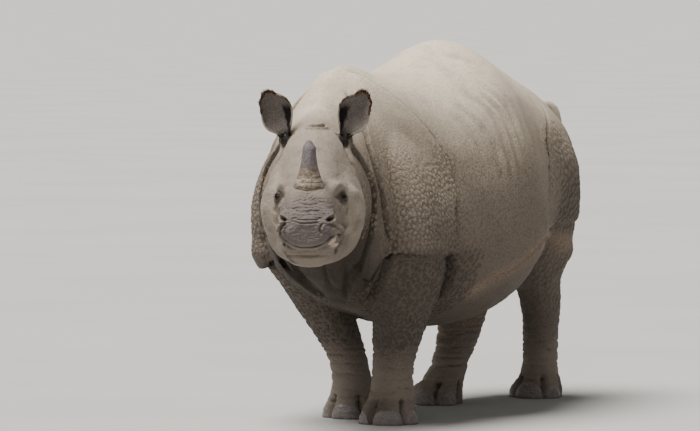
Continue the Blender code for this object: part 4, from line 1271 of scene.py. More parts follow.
def hair_tufts(name, roots, directions, lengths, widths, curls, columns, seed=1):
    """Tapered hairs, each a thin three-sided spike, with a small patch of map at each root."""
    rng = np.random.default_rng(seed)
    points, faces, patch = [], [], []
    steps = 3
    for k, root in enumerate(roots):
        d = directions[k] / (np.linalg.norm(directions[k]) + 1e-9)
        side = np.cross(d, rng.normal(size=3))
        side = side / (np.linalg.norm(side) + 1e-9)
        other = np.cross(d, side)
        base = len(points)
        for i in range(steps):
            f = i / steps
            centre = root + d * lengths[k] * f + curls[k] * lengths[k] * f * f
            w = widths[k] * (1.0 - 0.75 * f)
            for turn in round_angles(3):
                points.append(centre + (side * math.cos(turn) + other * math.sin(turn)) * w)
        points.append(root + d * lengths[k] + curls[k] * lengths[k])
        for i in range(steps - 1):
            for m in range(3):
                n = (m + 1) % 3
                faces.append((base + 3 * i + m, base + 3 * i + n, base + 3 * i + 3 + n, base + 3 * i + 3 + m))
        for m in range(3):
            faces.append((base + 3 * steps - 3 + m, base + 3 * steps - 3 + (m + 1) % 3, base + 3 * steps))
        faces.append((base + 2, base + 1, base))
        patch += [columns[k]] * (3 * (steps - 1) + 4)
    obj = new_object(name, points, faces)
    layer = obj.data.uv_layers.new(name="OFBake")
    per = 3 * steps + 1
    shade = np.repeat(rng.uniform(0.0, 1.0, len(roots)), per)
    height = np.concatenate([np.repeat(np.arange(steps) / steps, 3), [1.0]])
    write_attributes(obj, {"tuft": shade, "tip": np.tile(height, len(roots))})
    for polygon, (u, v) in zip(obj.data.polygons, patch):
        for loop in polygon.loop_indices:
            m = (obj.data.loops[loop].vertex_index % per) / per
            layer.data[loop].uv = (u + 0.003 * m, v + 0.003 * ((loop * 7) % 5) / 5.0)
    return smooth_shaded(obj)


TUBERCLE_RINGS = ((1.00, -0.45, 0.40), (0.84, 0.42, 0.16), (0.48, 0.86, 0.0))  # radius, rise, painted shade and mud
TUBERCLE_SIDES = 8


def scatter(skin, wanted, spacing, rng):
    """Places spread over the hide no closer than their spacing, where they are wanted."""
    p, n = read_points(skin), read_normals(skin)
    corners = np.empty(len(skin.data.polygons) * 3, np.int64)
    skin.data.polygons.foreach_get("vertices", corners)
    corners = corners.reshape(-1, 3)
    a, b, c = (p[corners[:, k]] for k in range(3))
    area = 0.5 * np.linalg.norm(np.cross(b - a, c - a), axis=1)
    share = area * wanted[corners].mean(1)
    count = int(7.0 * share.sum() / spacing**2)
    chosen = rng.choice(len(corners), count, p=share / share.sum())
    u, v = np.sqrt(rng.uniform(size=count)), rng.uniform(size=count)
    weights = np.stack([1.0 - u, u * (1.0 - v), u * v], 1)
    spots = (p[corners[chosen]] * weights[:, :, None]).sum(1)
    facing = (n[corners[chosen]] * weights[:, :, None]).sum(1)
    facing = facing / (np.linalg.norm(facing, axis=1)[:, None] + 1e-9)
    grain = (1.0 + 0.22 * noise(spots, 0.12, 61)) * spacing
    grain = grain * (0.85 + 0.25 * smoothstep(-0.2, 0.2, spots[:, 1]))
    grid, kept = {}, []
    cells = np.floor(spots / (1.25 * spacing)).astype(int)
    for k in range(count):
        x, y, z = cells[k]
        spot = spots[k]
        crowded = False
        for i, j, m in product((x - 1, x, x + 1), (y - 1, y, y + 1), (z - 1, z, z + 1)):
            for other in grid.get((i, j, m), ()):
                d = spots[other] - spot
                if d[0] * d[0] + d[1] * d[1] + d[2] * d[2] < (0.86 * grain[k]) ** 2:
                    crowded = True
                    break
            if crowded:
                break
        if not crowded:
            grid.setdefault((x, y, z), []).append(k)
            kept.append(k)
    kept = np.array(kept)
    return spots[kept], facing[kept], grain[kept]


def make_tubercles(skin, side):
    """Round studs that stand out of the hide over the shoulder, thigh and upper legs of one side."""
    rng = np.random.default_rng(71 if side > 0 else 72)
    p = read_points(skin)
    wanted = pebbling(p) * smoothstep(-0.01, 0.02, p[:, 0] * side)  # hardly past the middle line
    spots, facing, grain = scatter(skin, smoothstep(0.15, 0.6, wanted), TUBERCLE_SPACING, rng)
    count = len(spots)
    marks, _, _ = region_marks(spots, facing)
    strength = pebbling(spots)
    aside = np.cross(facing, np.array([0.0, 0.0, 1.0]) + 0.3 * rng.normal(size=(count, 3)))
    aside = aside / (np.linalg.norm(aside, axis=1)[:, None] + 1e-9)
    along = np.cross(facing, aside)
    stretch = rng.uniform(1.0, 1.25, count)
    radius = grain * rng.uniform(0.48, 0.58, count)
    height = radius * rng.uniform(0.22, 0.34, count) * (0.35 + 0.65 * strength)
    # Studs under the shoulder flap get extra painted shade.
    arm = smoothstep(0.80, 0.74, spots[:, 2]) * (spots[:, 1] < -0.4)
    angle = round_angles(TUBERCLE_SIDES)
    uneven = 1.0 + 0.10 * rng.normal(size=(count, TUBERCLE_SIDES))
    layers, stud_shade_and_mud = [], []
    for share, rise, ring_shade_and_mud in TUBERCLE_RINGS:
        across = aside[:, None, :] * (np.cos(angle) * uneven * (share * radius)[:, None])[:, :, None]
        down = along[:, None, :] * (np.sin(angle) * uneven * (share * radius * stretch)[:, None])[:, :, None]
        layers.append(spots[:, None, :] + across + down + facing[:, None, :] * (rise * height)[:, None, None])
        stud_shade_and_mud.append(np.full((count, TUBERCLE_SIDES), ring_shade_and_mud) + 0.5 * (arm * (share < 0.9))[:, None])
    layers.append((spots + facing * height[:, None])[:, None, :])
    stud_shade_and_mud.append(0.6 * arm[:, None])
    points = np.concatenate(layers, 1)
    per = points.shape[1]
    pattern = []
    for ring in range(len(TUBERCLE_RINGS) - 1):
        for k in range(TUBERCLE_SIDES):
            m = (k + 1) % TUBERCLE_SIDES
            low, high = ring * TUBERCLE_SIDES, (ring + 1) * TUBERCLE_SIDES
            pattern += [(low + k, low + m, high + m), (low + k, high + m, high + k)]
    last = (len(TUBERCLE_RINGS) - 1) * TUBERCLE_SIDES
    pattern += [(last + k, last + (k + 1) % TUBERCLE_SIDES, per - 1) for k in range(TUBERCLE_SIDES)]
    faces = (np.array(pattern)[None] + per * np.arange(count)[:, None, None]).reshape(-1, 3)
    name = "tubercles_left" if side > 0 else "tubercles_right"
    obj = new_object(name, points.reshape(-1, 3), faces.tolist(), False)
    values = {mark: np.repeat(value, per) for mark, value in marks.items()}
    # Painted shade and mud on the studs, darkest round their sunk rims.
    values["shade_and_mud"] = np.concatenate(stud_shade_and_mud, 1).ravel()
    values["grain"] = np.full(count * per, 0.35)
    write_attributes(obj, values)
    about = np.arctan2(spots[:, 0], spots[:, 2] - 1.0)
    centre = np.stack([(spots[:, 1] + 2.2) / 3.4, 0.5 + about / 6.4], 1)
    circle = np.stack([np.cos(angle), np.sin(angle)], 1)
    turned = np.concatenate([circle * row[0] for row in TUBERCLE_RINGS] + [np.zeros((1, 2))])
    flat = centre[:, None, :] + 0.0015 * turned[None]
    layer = obj.data.uv_layers.new(name="OFBake")
    layer.data.foreach_set("uv", flat.reshape(-1, 2)[faces.ravel()].astype(np.float32).ravel())
    return smooth_shaded(set_in_place(obj))


FRINGE_HAIRS = 620
TAIL_HAIRS = 520
LASHES = 46


def make_ear_fringe(side):
    """Red-brown hair along the rim, over the top and the edges of an ear; its orange light is partly painted
    backlight.
    """
    rng = np.random.default_rng(5 if side > 0 else 6)
    count = FRINGE_HAIRS
    t = rng.uniform(-0.95, 1.0, count)
    rim = rng.uniform(size=count) < 0.62
    h = np.where(rim, 1.0, rng.uniform(0.62, 1.0, count))
    t = np.where(rim, t, np.where(rng.uniform(size=count) < 0.70, 1.0, -1.0))
    roots = ear_place(side, h, t)
    inside = ear_place(side, np.maximum(h - 0.06, 0.0), t * 0.92)
    out = roots - inside
    out = out / np.linalg.norm(out, axis=1)[:, None]
    stray = rng.normal(scale=0.30, size=(count, 3))
    directions = out + stray + np.array([0.0, -0.1, 0.15])
    roots = roots + rng.normal(scale=0.0022, size=(count, 3)) - out * 0.002
    lengths = rng.uniform(0.009, 0.022, count) * np.where(rim, 1.0, 0.7)
    base = lean_ear(roots, side)
    ends = lean_ear(roots + directions, side) - base
    curls = rng.normal(scale=0.16, size=(count, 3))
    columns = [(0.05 + 0.9 * (a + 1.0) / 2.0, 0.05 + 0.9 * b) for a, b in zip(t, h)]
    name = "ear_fringe_left" if side > 0 else "ear_fringe_right"
    widths = np.full(count, 0.0012)
    return set_in_place(hair_tufts(name, base, ends, lengths, widths, curls, columns, 11))


def make_tail_bristles():
    """Stiff dark bristles along the front and back of the end of the tail."""
    rng = np.random.default_rng(9)
    count = TAIL_HAIRS
    rows = curve_through(TAIL, 200)
    spot = rows[(rng.uniform(0.80, 0.995, count) * 199).astype(int)]
    angle = rng.uniform(0.0, 2.0 * math.pi, count)
    out = np.stack([0.5 * np.cos(angle), np.sin(angle), np.full(count, -0.25)], 1)
    aside = np.stack([np.cos(angle) * spot[:, 3], np.sin(angle) * spot[:, 4], np.zeros(count)], 1)
    roots = spot[:, :3] + aside * 0.85
    directions = out * np.array([0.25, 0.12, 0.3]) + np.array([0.0, -0.10, -1.0])
    directions = directions + rng.normal(scale=0.05, size=(count, 3))
    lengths = rng.uniform(0.035, 0.080, count)
    curls = rng.normal(scale=0.05, size=(count, 3)) + np.array([0.0, -0.12, -0.15])
    columns = [(0.05 + 0.9 * a / (2.0 * math.pi), 0.05 + 0.9 * (s[2] - 0.85)) for a, s in zip(angle, spot)]
    widths = np.full(count, 0.0013)
    return set_in_place(hair_tufts("tail_bristles", roots, directions, lengths, widths, curls, columns, 12))


def make_lashes(side):
    """Short lashes on the upper lid."""
    rng = np.random.default_rng(14)
    centre, nose, up, out = eye_frame(side)
    count = LASHES
    angle = rng.uniform(0.25, math.pi - 0.15, count)
    a, b = LID_LENGTH * 1.12 * np.cos(angle), LID_HEIGHT * 1.12 * np.sin(angle)
    ball = EYE_RADIUS + LID_GAP
    h = ball * np.sqrt(1.0 - np.minimum(np.sqrt(a**2 + b**2) / ball, 0.88) ** 2)
    roots = centre + np.outer(a, nose) + np.outer(b, up) + np.outer(h, out)
    directions = out + np.outer(0.5 * np.cos(angle), nose) + 0.25 * up
    directions = directions + rng.normal(scale=0.15, size=(count, 3))
    lengths = rng.uniform(0.008, 0.014, count)
    curls = np.tile(-0.35 * up, (count, 1))
    columns = [(0.05 + 0.28 * v, 0.5) for v in angle]
    name = "lashes_left" if side > 0 else "lashes_right"
    widths = np.full(count, 0.0006)
    return set_in_place(hair_tufts(name, roots, directions, lengths, widths, curls, columns, 15))


# ---- materials ----------------------------------------------------------
class Wire:
    """A socket of a node tree that works in sums like a number."""

    def __init__(self, tree, socket):
        self.tree, self.socket = tree, socket

    def maths(self, operation, *others):
        node = self.tree.nodes.new("ShaderNodeMath")
        node.operation = operation
        for k, value in enumerate((self, *others)):
            plug(self.tree, node.inputs[k], value)
        return Wire(self.tree, node.outputs[0])

    def __add__(self, other):
        return self.maths("ADD", other)

    def __rsub__(self, other):
        return (self * -1.0) + other

    def __mul__(self, other):
        return self.maths("MULTIPLY", other)

    __radd__ = __add__
    __rmul__ = __mul__

    def fit(self, low, high, start=0.0, end=1.0):
        """Smooth step from one range of values to another."""
        node = self.tree.nodes.new("ShaderNodeMapRange")
        node.interpolation_type = "SMOOTHSTEP"
        for k, value in enumerate((self, low, high, start, end)):
            plug(self.tree, node.inputs[k], value)
        return Wire(self.tree, node.outputs[0])


def plug(tree, socket, value):
    if isinstance(value, Wire):
        tree.links.new(value.socket, socket)
    else:
        socket.default_value = value


class Finish:
    """A material under its maker's hands."""

    def __init__(self, name, roughness=0.7, specular=0.3):
        self.material = bpy.data.materials.new(name)
        self.material.use_nodes = True
        self.tree = self.material.node_tree
        self.shader = self.tree.nodes["Principled BSDF"]
        self.shader.inputs["Specular IOR Level"].default_value = specular
        self.shader.inputs["Roughness"].default_value = roughness
        self.place = self.node("ShaderNodeTexCoord", out="Object")

    def node(self, kind, settings=(), values=(), out=0):
        made = self.tree.nodes.new(kind)
        for key, value in dict(settings).items():
            setattr(made, key, value)
        for key, value in dict(values).items():
            plug(self.tree, made.inputs[key], value)
        return Wire(self.tree, made.outputs[out])

    def noise(self, scale, detail=3.0, roughness=0.5, at=None):
        values = {"Vector": at or self.place, "Scale": scale, "Detail": detail, "Roughness": roughness}
        return self.node("ShaderNodeTexNoise", values=values)

    def cells(self, scale, feature="F1", randomness=1.0):
        values = {"Vector": self.place, "Scale": scale, "Randomness": randomness}
        return self.node("ShaderNodeTexVoronoi", {"feature": feature}, values, "Distance")

    def attribute(self, name):
        return self.node("ShaderNodeAttribute", {"attribute_name": name}, out="Fac")

    def mix(self, factor, first, second):
        settings = {"data_type": "RGBA", "clamp_factor": True}
        values = {0: factor, 6: first, 7: second}
        return self.node("ShaderNodeMix", settings, values, out=2)

    def stretched(self, x, y, z):
        return self.node("ShaderNodeMapping", values={"Vector": self.place, "Scale": (x, y, z)})

    def bump(self, height, distance):
        return self.node("ShaderNodeBump", values={"Height": height, "Distance": distance, "Strength": 1.0})

    def colour(self, value):
        plug(self.tree, self.shader.inputs["Base Color"], value)

    def rough(self, value):
        plug(self.tree, self.shader.inputs["Roughness"], value)

    def normal(self, value):
        plug(self.tree, self.shader.inputs["Normal"], value)


def rgb(red, green, blue):
    return (red, green, blue, 1.0)


# Colours of the hide
HIDE_DULL = rgb(0.242, 0.198, 0.150)
HIDE_WARM = rgb(0.308, 0.256, 0.198)
HIDE_DUST_AND_TOP_LIGHT = rgb(0.68, 0.590, 0.470)
HIDE_SHADE_AND_DAMP = rgb(0.099, 0.081, 0.067)
HIDE_PINK = rgb(0.26, 0.180, 0.125)
HIDE_BARE = rgb(0.104, 0.086, 0.088)
HIDE_PATCH = rgb(0.17, 0.145, 0.122)
HIDE_SPECK = rgb(0.11, 0.092, 0.078)
HIDE_SHADE_BETWEEN_STUDS = rgb(0.075, 0.060, 0.050)
CREASE_SHADE_AND_MUD = rgb(0.030, 0.022, 0.017)
EAR_DULL = rgb(0.110, 0.092, 0.082)
EAR_PALE = rgb(0.215, 0.188, 0.168)
EAR_HOLLOW_SHADE = rgb(0.006, 0.004, 0.003)
# Colours of the horn, the eyes, the nails and the floor
FIBRE_DARK = rgb(0.062, 0.052, 0.054)
FIBRE_PALE = rgb(0.190, 0.166, 0.168)
ROOT_DARK = rgb(0.095, 0.070, 0.050)
ROOT_PALE = rgb(0.230, 0.190, 0.142)
ROOT_RING = rgb(0.40, 0.345, 0.275)
ROOT_PIT = rgb(0.055, 0.038, 0.025)
IRIS_DARK = rgb(0.012, 0.006, 0.003)
IRIS_BROWN = rgb(0.030, 0.015, 0.008)
PUPIL = rgb(0.002, 0.0015, 0.001)
EYE_WHITE = rgb(0.040, 0.024, 0.020)
NAIL_DULL = rgb(0.175, 0.152, 0.145)
NAIL_PALE = rgb(0.285, 0.256, 0.244)
NAIL_WORN = rgb(0.110, 0.090, 0.078)
FLOOR_DULL = rgb(0.43, 0.43, 0.42)
FLOOR_PALE = rgb(0.46, 0.457, 0.446)
# Dark and light hairs of each kind
LASH_HAIR = (rgb(0.010, 0.007, 0.005), rgb(0.050, 0.032, 0.020))
# The ear hair's light orange is partly painted backlight.
BACKLIT_EAR_HAIR = (rgb(0.020, 0.012, 0.007), rgb(0.300, 0.130, 0.045))
TAIL_HAIR = (rgb(0.010, 0.008, 0.006), rgb(0.060, 0.045, 0.032))


def hide_finish():
    """Thick dry hide: pale above, dusty and with painted top light; darker below, damp and with painted
    shade; with painted shade and mud in the creases and between the studs.
    """
    look = Finish("hide", 0.72, 0.28)
    pebble, grain, shade_and_mud = look.attribute("pebble"), look.attribute("grain"), look.attribute("shade_and_mud")
    dusty_and_top_lit, dark, snout = look.attribute("dusty_and_top_lit"), look.attribute("dark"), look.attribute("snout")
    pink, inner, ear_shade = look.attribute("pink"), look.attribute("ear_inside"), look.attribute("ear_hollow_shade")
    broad = look.noise(2.2, 4.0, 0.6)
    patch = look.noise(9.0, 5.0, 0.65)
    speck = look.noise(70.0, 3.0, 0.6)
    fleck = look.noise(260.0, 2.0, 0.6)
    fine = look.cells(115.0, "F1", randomness=0.9)
    net = look.cells(60.0, "DISTANCE_TO_EDGE", randomness=1.0)
    base = look.mix(broad.fit(0.35, 0.65), HIDE_DULL, HIDE_WARM)
    # Paler where the hide is dusty and where painted top light lies.
    base = look.mix(dusty_and_top_lit, base, HIDE_DUST_AND_TOP_LIGHT)
    # Darker below with damp and painted shade.
    base = look.mix(dark * 0.88, base, HIDE_SHADE_AND_DAMP)
    base = look.mix(pink * patch.fit(0.25, 0.6, 0.5, 1.0), base, HIDE_PINK)
    base = look.mix(snout * 0.84, base, HIDE_BARE)
    base = look.mix(patch.fit(0.40, 0.75, 0.0, 0.28), base, HIDE_PATCH)
    base = look.mix(speck.fit(0.48, 0.75, 0.0, 0.30), base, HIDE_SPECK)
    # Painted shade and mud between the studs and the fine cells of the grain.
    gap_shade_and_mud = pebble * 0.25 + fine.fit(0.35, 0.75) * grain * 0.55
    base = look.mix(gap_shade_and_mud, base, HIDE_SHADE_BETWEEN_STUDS)
    # Painted shade, with some mud, darkens the creases, the hollows, the lids and the hide under the flaps.
    base = look.mix(shade_and_mud * 0.92, base, CREASE_SHADE_AND_MUD)
    base = look.mix(inner, base, look.mix(fleck.fit(0.35, 0.65), EAR_DULL, EAR_PALE))
    # Near-black painted shade in the ears' hollows and round their feet.
    base = look.mix(ear_shade, base, EAR_HOLLOW_SHADE)
    look.colour(base)
    height = (1.0 - fine.fit(0.05, 0.6)) * grain * 0.30
    height = height + net.fit(0.0, 0.12) * 0.18
    height = height + speck * 0.14 + fleck * 0.05
    look.rough(patch.fit(0.2, 0.8, 0.60, 0.82))
    look.normal(look.bump(height, 0.0055))
    return look.material


def horn_finish():
    """Grey fibres over a brown pitted root with two frayed pale rings."""
    look = Finish("horn_fibre", 0.62, 0.35)
    level, ring = look.attribute("level"), look.attribute("ring")
    fibre = look.noise(1.0, 4.0, 0.6, at=look.stretched(420.0, 420.0, 26.0))
    blotch = look.noise(60.0, 4.0, 0.65)
    pit = look.cells(150.0, "F1", randomness=1.0)
    top = look.mix(fibre.fit(0.35, 0.65), FIBRE_DARK, FIBRE_PALE)
    root = look.mix(blotch.fit(0.35, 0.65), ROOT_DARK, ROOT_PALE)
    base = look.mix((level + blotch * 0.2).fit(0.42, 0.66), root, top)
    base = look.mix(ring, base, ROOT_RING)
    pitted = (1.0 - pit.fit(0.15, 0.45)) * (1.0 - level.fit(0.35, 0.60)) * 0.65
    base = look.mix(pitted, base, ROOT_PIT)
    look.colour(base)
    look.normal(look.bump(fibre + blotch * 0.6, 0.0016))
    return look.material


def eye_finish():
    look = Finish("eye_dark", 0.12, 0.32)
    gaze = look.attribute("gaze")
    streak = look.noise(600.0, 3.0)
    iris = look.mix(streak.fit(0.3, 0.7), IRIS_DARK, IRIS_BROWN)
    base = look.mix(gaze.fit(0.885, 0.915), iris, PUPIL)
    base = look.mix(1.0 - gaze.fit(0.55, 0.68), base, EYE_WHITE)
    look.colour(base)
    return look.material


def nail_finish():
    look = Finish("nail_grey", 0.40, 0.45)
    line = look.noise(1.0, 4.0, 0.6, at=look.stretched(60.0, 60.0, 260.0))
    wear = look.noise(40.0, 4.0, 0.6)
    base = look.mix(line.fit(0.35, 0.65), NAIL_DULL, NAIL_PALE)
    base = look.mix(wear.fit(0.50, 0.72, 0.0, 0.6), base, NAIL_WORN)
    look.colour(base)
    look.normal(look.bump(line, 0.0006))
    return look.material


def hair_finish(name, dark, light):
    look = Finish(name, 0.5, 0.3)
    tone = look.attribute("tuft") * 0.7 + look.attribute("tip") * 0.3
    look.colour(look.mix(tone.fit(0.45, 1.0), dark, light))
    return look.material


def hollows(obj, rounds):
    """How deep each point lies between its neighbours, spread over a few rings of faces."""
    p, n = read_points(obj), read_normals(obj)
    edges = np.empty(len(obj.data.edges) * 2, np.int64)
    obj.data.edges.foreach_get("vertices", edges)
    a, b = edges[::2], edges[1::2]
    count = np.bincount(a, minlength=len(p)) + np.bincount(b, minlength=len(p)) + 1e-9

    def spread(values):
        return (np.bincount(a, values[b], len(p)) + np.bincount(b, values[a], len(p))) / count

    smooth = p.copy()
    for _ in range(rounds):
        smooth = np.stack([spread(smooth[:, k]) for k in range(3)], 1) * 0.7 + smooth * 0.3
    depth = ((smooth - p) * n).sum(1)
    return depth * 0.5 + spread(depth) * 0.5


def ear_marks(p):
    """The inside of the ears, and the painted shade in the deep strip beside each inner rim."""
    inside, ear_shade = np.zeros(len(p)), np.zeros(len(p))
    for side in (1.0, -1.0):
        points, faces = ear_sheet(side)
        tree = BVHTree.FromPolygons([tuple(q) for q in points], faces)
        middles = points.reshape(EAR_ROWS, EAR_COLUMNS, 3).mean(1)
        middles = middles + np.array([0.0, -0.035, 0.0])
        low, high = points.min(0) - 0.01, points.max(0) + 0.01
        for k in np.flatnonzero(((p > low) & (p < high)).all(1)):
            place, _, face, _ = tree.find_nearest(Vector(p[k]), EAR_REACH)
            if place is None:
                continue
            row, column = divmod(face, EAR_COLUMNS - 1)
            h, t = row / (EAR_ROWS - 1), 2.0 * column / (EAR_COLUMNS - 2) - 1.0
            aside = p[k] - np.array(place)
            toward = middles[row] - np.array(place)
            facing = float(aside @ toward) / (np.linalg.norm(toward) * EAR_SHEET / 2)
            inside[k] = np.clip(0.5 + 1.5 * facing, 0.0, 1.0)
            strip = smoothstep(-0.98, -0.86, t) * smoothstep(-0.30, -0.42, t + 0.3 * (0.3 - h))
            strip = strip * smoothstep(0.72, 0.55, h)
            ear_shade[k] = inside[k] * max(strip, 0.75 * smoothstep(0.24, 0.04, h))
        # Painted shade in the gutter before each ear and round its foot.
        gutter = dense(EAR_GUTTER) * np.array([side, 1.0, 1.0])
        foot = lean_ear(np.array(EAR_FOOT_PATH) * np.array([side, 1.0, 1.0]), side)
        ear_shade = np.maximum(ear_shade, smoothstep(0.15, 0.60, beside(p, gutter, 0.020)))
        ear_shade = np.maximum(ear_shade, smoothstep(0.15, 0.45, beside(p, foot, 0.022)))
    return inside, ear_shade


def write_attributes(obj, values):
    for name, value in values.items():
        layer = obj.data.attributes.new(name, "FLOAT", "POINT")
        layer.data.foreach_set("value", np.clip(value, 0.0, 1.0).astype(np.float32))


def beside(p, path, width):
    """How near each place is to a path, from 0 to 1."""
    low, high = path.min(0) - 3.0 * width, path.max(0) + 3.0 * width
    chosen = np.flatnonzero(((p > low) & (p < high)).all(1))
    q = p[chosen]
    nearest = np.full(len(q), 9.0)
    for start, leg in zip(path[:-1], np.diff(path, axis=0)):
        f = np.clip((q - start) @ leg / (leg @ leg + 1e-12), 0.0, 1.0)
        nearest = np.minimum(nearest, ((q - start - f[:, None] * leg) ** 2).sum(1))
    amount = np.zeros(len(p))
    amount[chosen] = bell(np.sqrt(nearest) / width)
    return amount


# Folds darkened on both sides with painted shade and mud: path, how far the darkening spreads, how dark
SHADED_MUDDY_FOLDS = (
    (LIP_CORNER, 0.007, 0.35),
    (CHEEK_CREASE, 0.009, 0.45),
    (CHEEK_HOLLOW, 0.022, 0.22),
    (BROW_CREASE, 0.007, 0.6),
    (CHEEK_BACK, 0.016, 0.8),
    (NECK_RIDGE, 0.016, 0.8),
    (ARM_FRONT, 0.030, 0.6),
    (BIB, 0.020, 0.5),
    (SHOULDER_FRONT, 0.014, 0.35),
)
# Path under the tail's root, darkened with painted shade.
UNDER_TAIL_SHADE = np.array([[0.030, 0.800, 1.325], [0.055, 0.865, 1.318], [0.030, 0.880, 1.270]])


def crease_shade_and_mud(p):
    """Painted shade and mud in the deepest creases, behind the arms, under the lip, under the shields' hems
    and under the tail.
    """
    total = np.zeros(len(p))
    for side in (1.0, -1.0):
        here = np.array([side, 1.0, 1.0])
        for table, width, amount in SHADED_MUDDY_FOLDS:
            total = np.maximum(total, amount * beside(p, dense(table) * here, width))
        for line in TEAR_LINES:
            total = np.maximum(total, 0.55 * beside(p, dense(line) * here, 0.005))
        # Painted shade behind each arm.
        armpit = [(0.36 if side > 0 else -0.33, y, z) for y, z in ARM_BACK]
        total = np.maximum(total, 0.8 * beside(p, dense(armpit), 0.045))
    # Painted shade under the upper lip.
    slit = dense(LIP_EDGE_FULL, LIP_STEPS) + np.array([0.0, 0.004, -0.009])
    total = np.maximum(total, 0.6 * beside(p, slit, 0.007))
    for line, _, _, amount in MOUTH_CREASES:
        total = np.maximum(total, amount * beside(p, dense(line), 0.009))
    # Painted shadow under the hem of each shoulder shield.
    for side in (1.0, -1.0):
        hem = shield_edge(side)[SHIELD_BEND - 2:] - np.array([0.0, 0.0, 0.026])
        total = np.maximum(total, beside(p, hem, 0.028))
    total = np.maximum(total, 0.8 * beside(p, UNDER_TAIL_SHADE, 0.022))
    return total


def region_marks(p, n):
    """How dusty and top-lit, how dark with damp and painted shade, how bare or pink the hide is, and where
    the painted shade on the chest and the pale lip lie.
    """
    x, y, z = np.abs(p[:, 0]), p[:, 1], p[:, 2]
    up = n[:, 2]
    head = smoothstep(POLL + 0.10, POLL - 0.05, y)
    soft = noise(p, 0.20, 3)
    # Paler towards the back and on upward faces: dusty hide and painted top light.
    dusty_and_top_lit = smoothstep(1.12, 1.62, z + 0.10 * soft) * (0.45 + 0.55 * smoothstep(-0.1, 0.7, up))
    # The top of the head is paler: dusty, and partly painted top light.
    dusty_and_top_lit = np.maximum(dusty_and_top_lit * (1.0 - head), head * 0.30 * smoothstep(1.08, 1.34, z + 0.06 * soft))
    # The top of the tail root is paler: dusty, and partly painted light that sets it off from the rump.
    tail = smoothstep(0.80, 0.86, y) * smoothstep(1.28, 1.34, z)
    cheek = head * smoothstep(0.115, 0.160, x) * smoothstep(0.80, 0.90, z)
    lip = smoothstep(0.15, 0.55, beside(p, dense(LIP_BULGE) + np.array([0.016, -0.010, 0.002]), 0.024))
    mottle = head * smoothstep(-0.1, 0.5, noise(p, 0.060, 21)) * smoothstep(0.09, 0.14, x)
    dusty_and_top_lit = np.maximum.reduce([dusty_and_top_lit, 0.8 * tail, 0.30 * cheek * (1.0 - 0.7 * mottle), 0.9 * lip])
    # Darker towards the bottom, partly damp and partly painted shade; the lower head is darker towards the
    # chin.
    dark = smoothstep(1.25, 0.55, z + 0.12 * soft) * (1.0 - head)
    dark = dark + head * (0.15 + 0.25 * smoothstep(0.98, 0.84, z))
    # Painted shade on faces that turn downwards low on the body.
    dark = np.maximum(dark, smoothstep(0.2, -0.8, up) * smoothstep(0.95, 0.60, z) * (1.0 - head))
    # Painted shade on the chest under the head.
    chest_shade = smoothstep(-0.86, -1.02, y) * smoothstep(1.02, 0.84, z) * smoothstep(0.28, 0.17, x) * (1.0 - head)
    # Darker at the rear of the rump and thighs.
    rear = smoothstep(0.15, 0.50, y) * smoothstep(1.35, 0.95, z)
    # Painted shadow on the top of the forelegs under the shoulder flaps.
    arm = smoothstep(0.80, 0.73, z) * smoothstep(-0.58, -0.68, y) * smoothstep(0.12, 0.20, x)
    foot = 0.80 * smoothstep(0.40, 0.14, z)
    dusty_and_top_lit = np.maximum(dusty_and_top_lit, 0.30 * smoothstep(0.40, 0.12, z))
    dark = np.clip(dark + 0.9 * chest_shade + 0.8 * rear + 0.4 * arm + 0.22 * mottle, 0.0, 1.0)
    dark = dark * (1.0 - foot) * (1.0 - lip)
    patchy = noise(p, 0.055, 8)
    snout = smoothstep(POLL - 0.36, POLL - 0.60, y + 0.05 * soft) * smoothstep(0.840, 0.875, z)
    snout = snout * smoothstep(1.17, 1.02, z + 0.05 * patchy) * smoothstep(0.165, 0.080, x + 0.02 * patchy)
    # The brow bump is greyed with the bare skin's colour, partly bare skin and partly painted shade on its
    # front.
    from_brow = np.linalg.norm(np.abs(p) * (1, -1, 1) - BROW, axis=1)
    snout = np.maximum(snout, 0.55 * smoothstep(0.055, 0.020, from_brow))
    snout = np.maximum(snout, head * (0.20 + 0.16 * smoothstep(-0.2, 0.5, patchy))) * (1.0 - lip)
    snout = np.maximum(snout, 0.52 * smoothstep(0.46, 0.16, z))
    pink = np.maximum(beside(p, dense(FLANK_FOLD), 0.040), beside(p, dense(KNEE_FOLD), 0.050))
    pink = np.maximum(pink, bell((z - 0.47) / 0.16) * smoothstep(0.05, 0.20, y) * (p[:, 0] < 0) * 0.9)
    pink = np.maximum(pink, 0.5 * lip)
    return {"dusty_and_top_lit": dusty_and_top_lit, "dark": dark, "snout": snout, "pink": pink}, chest_shade, lip


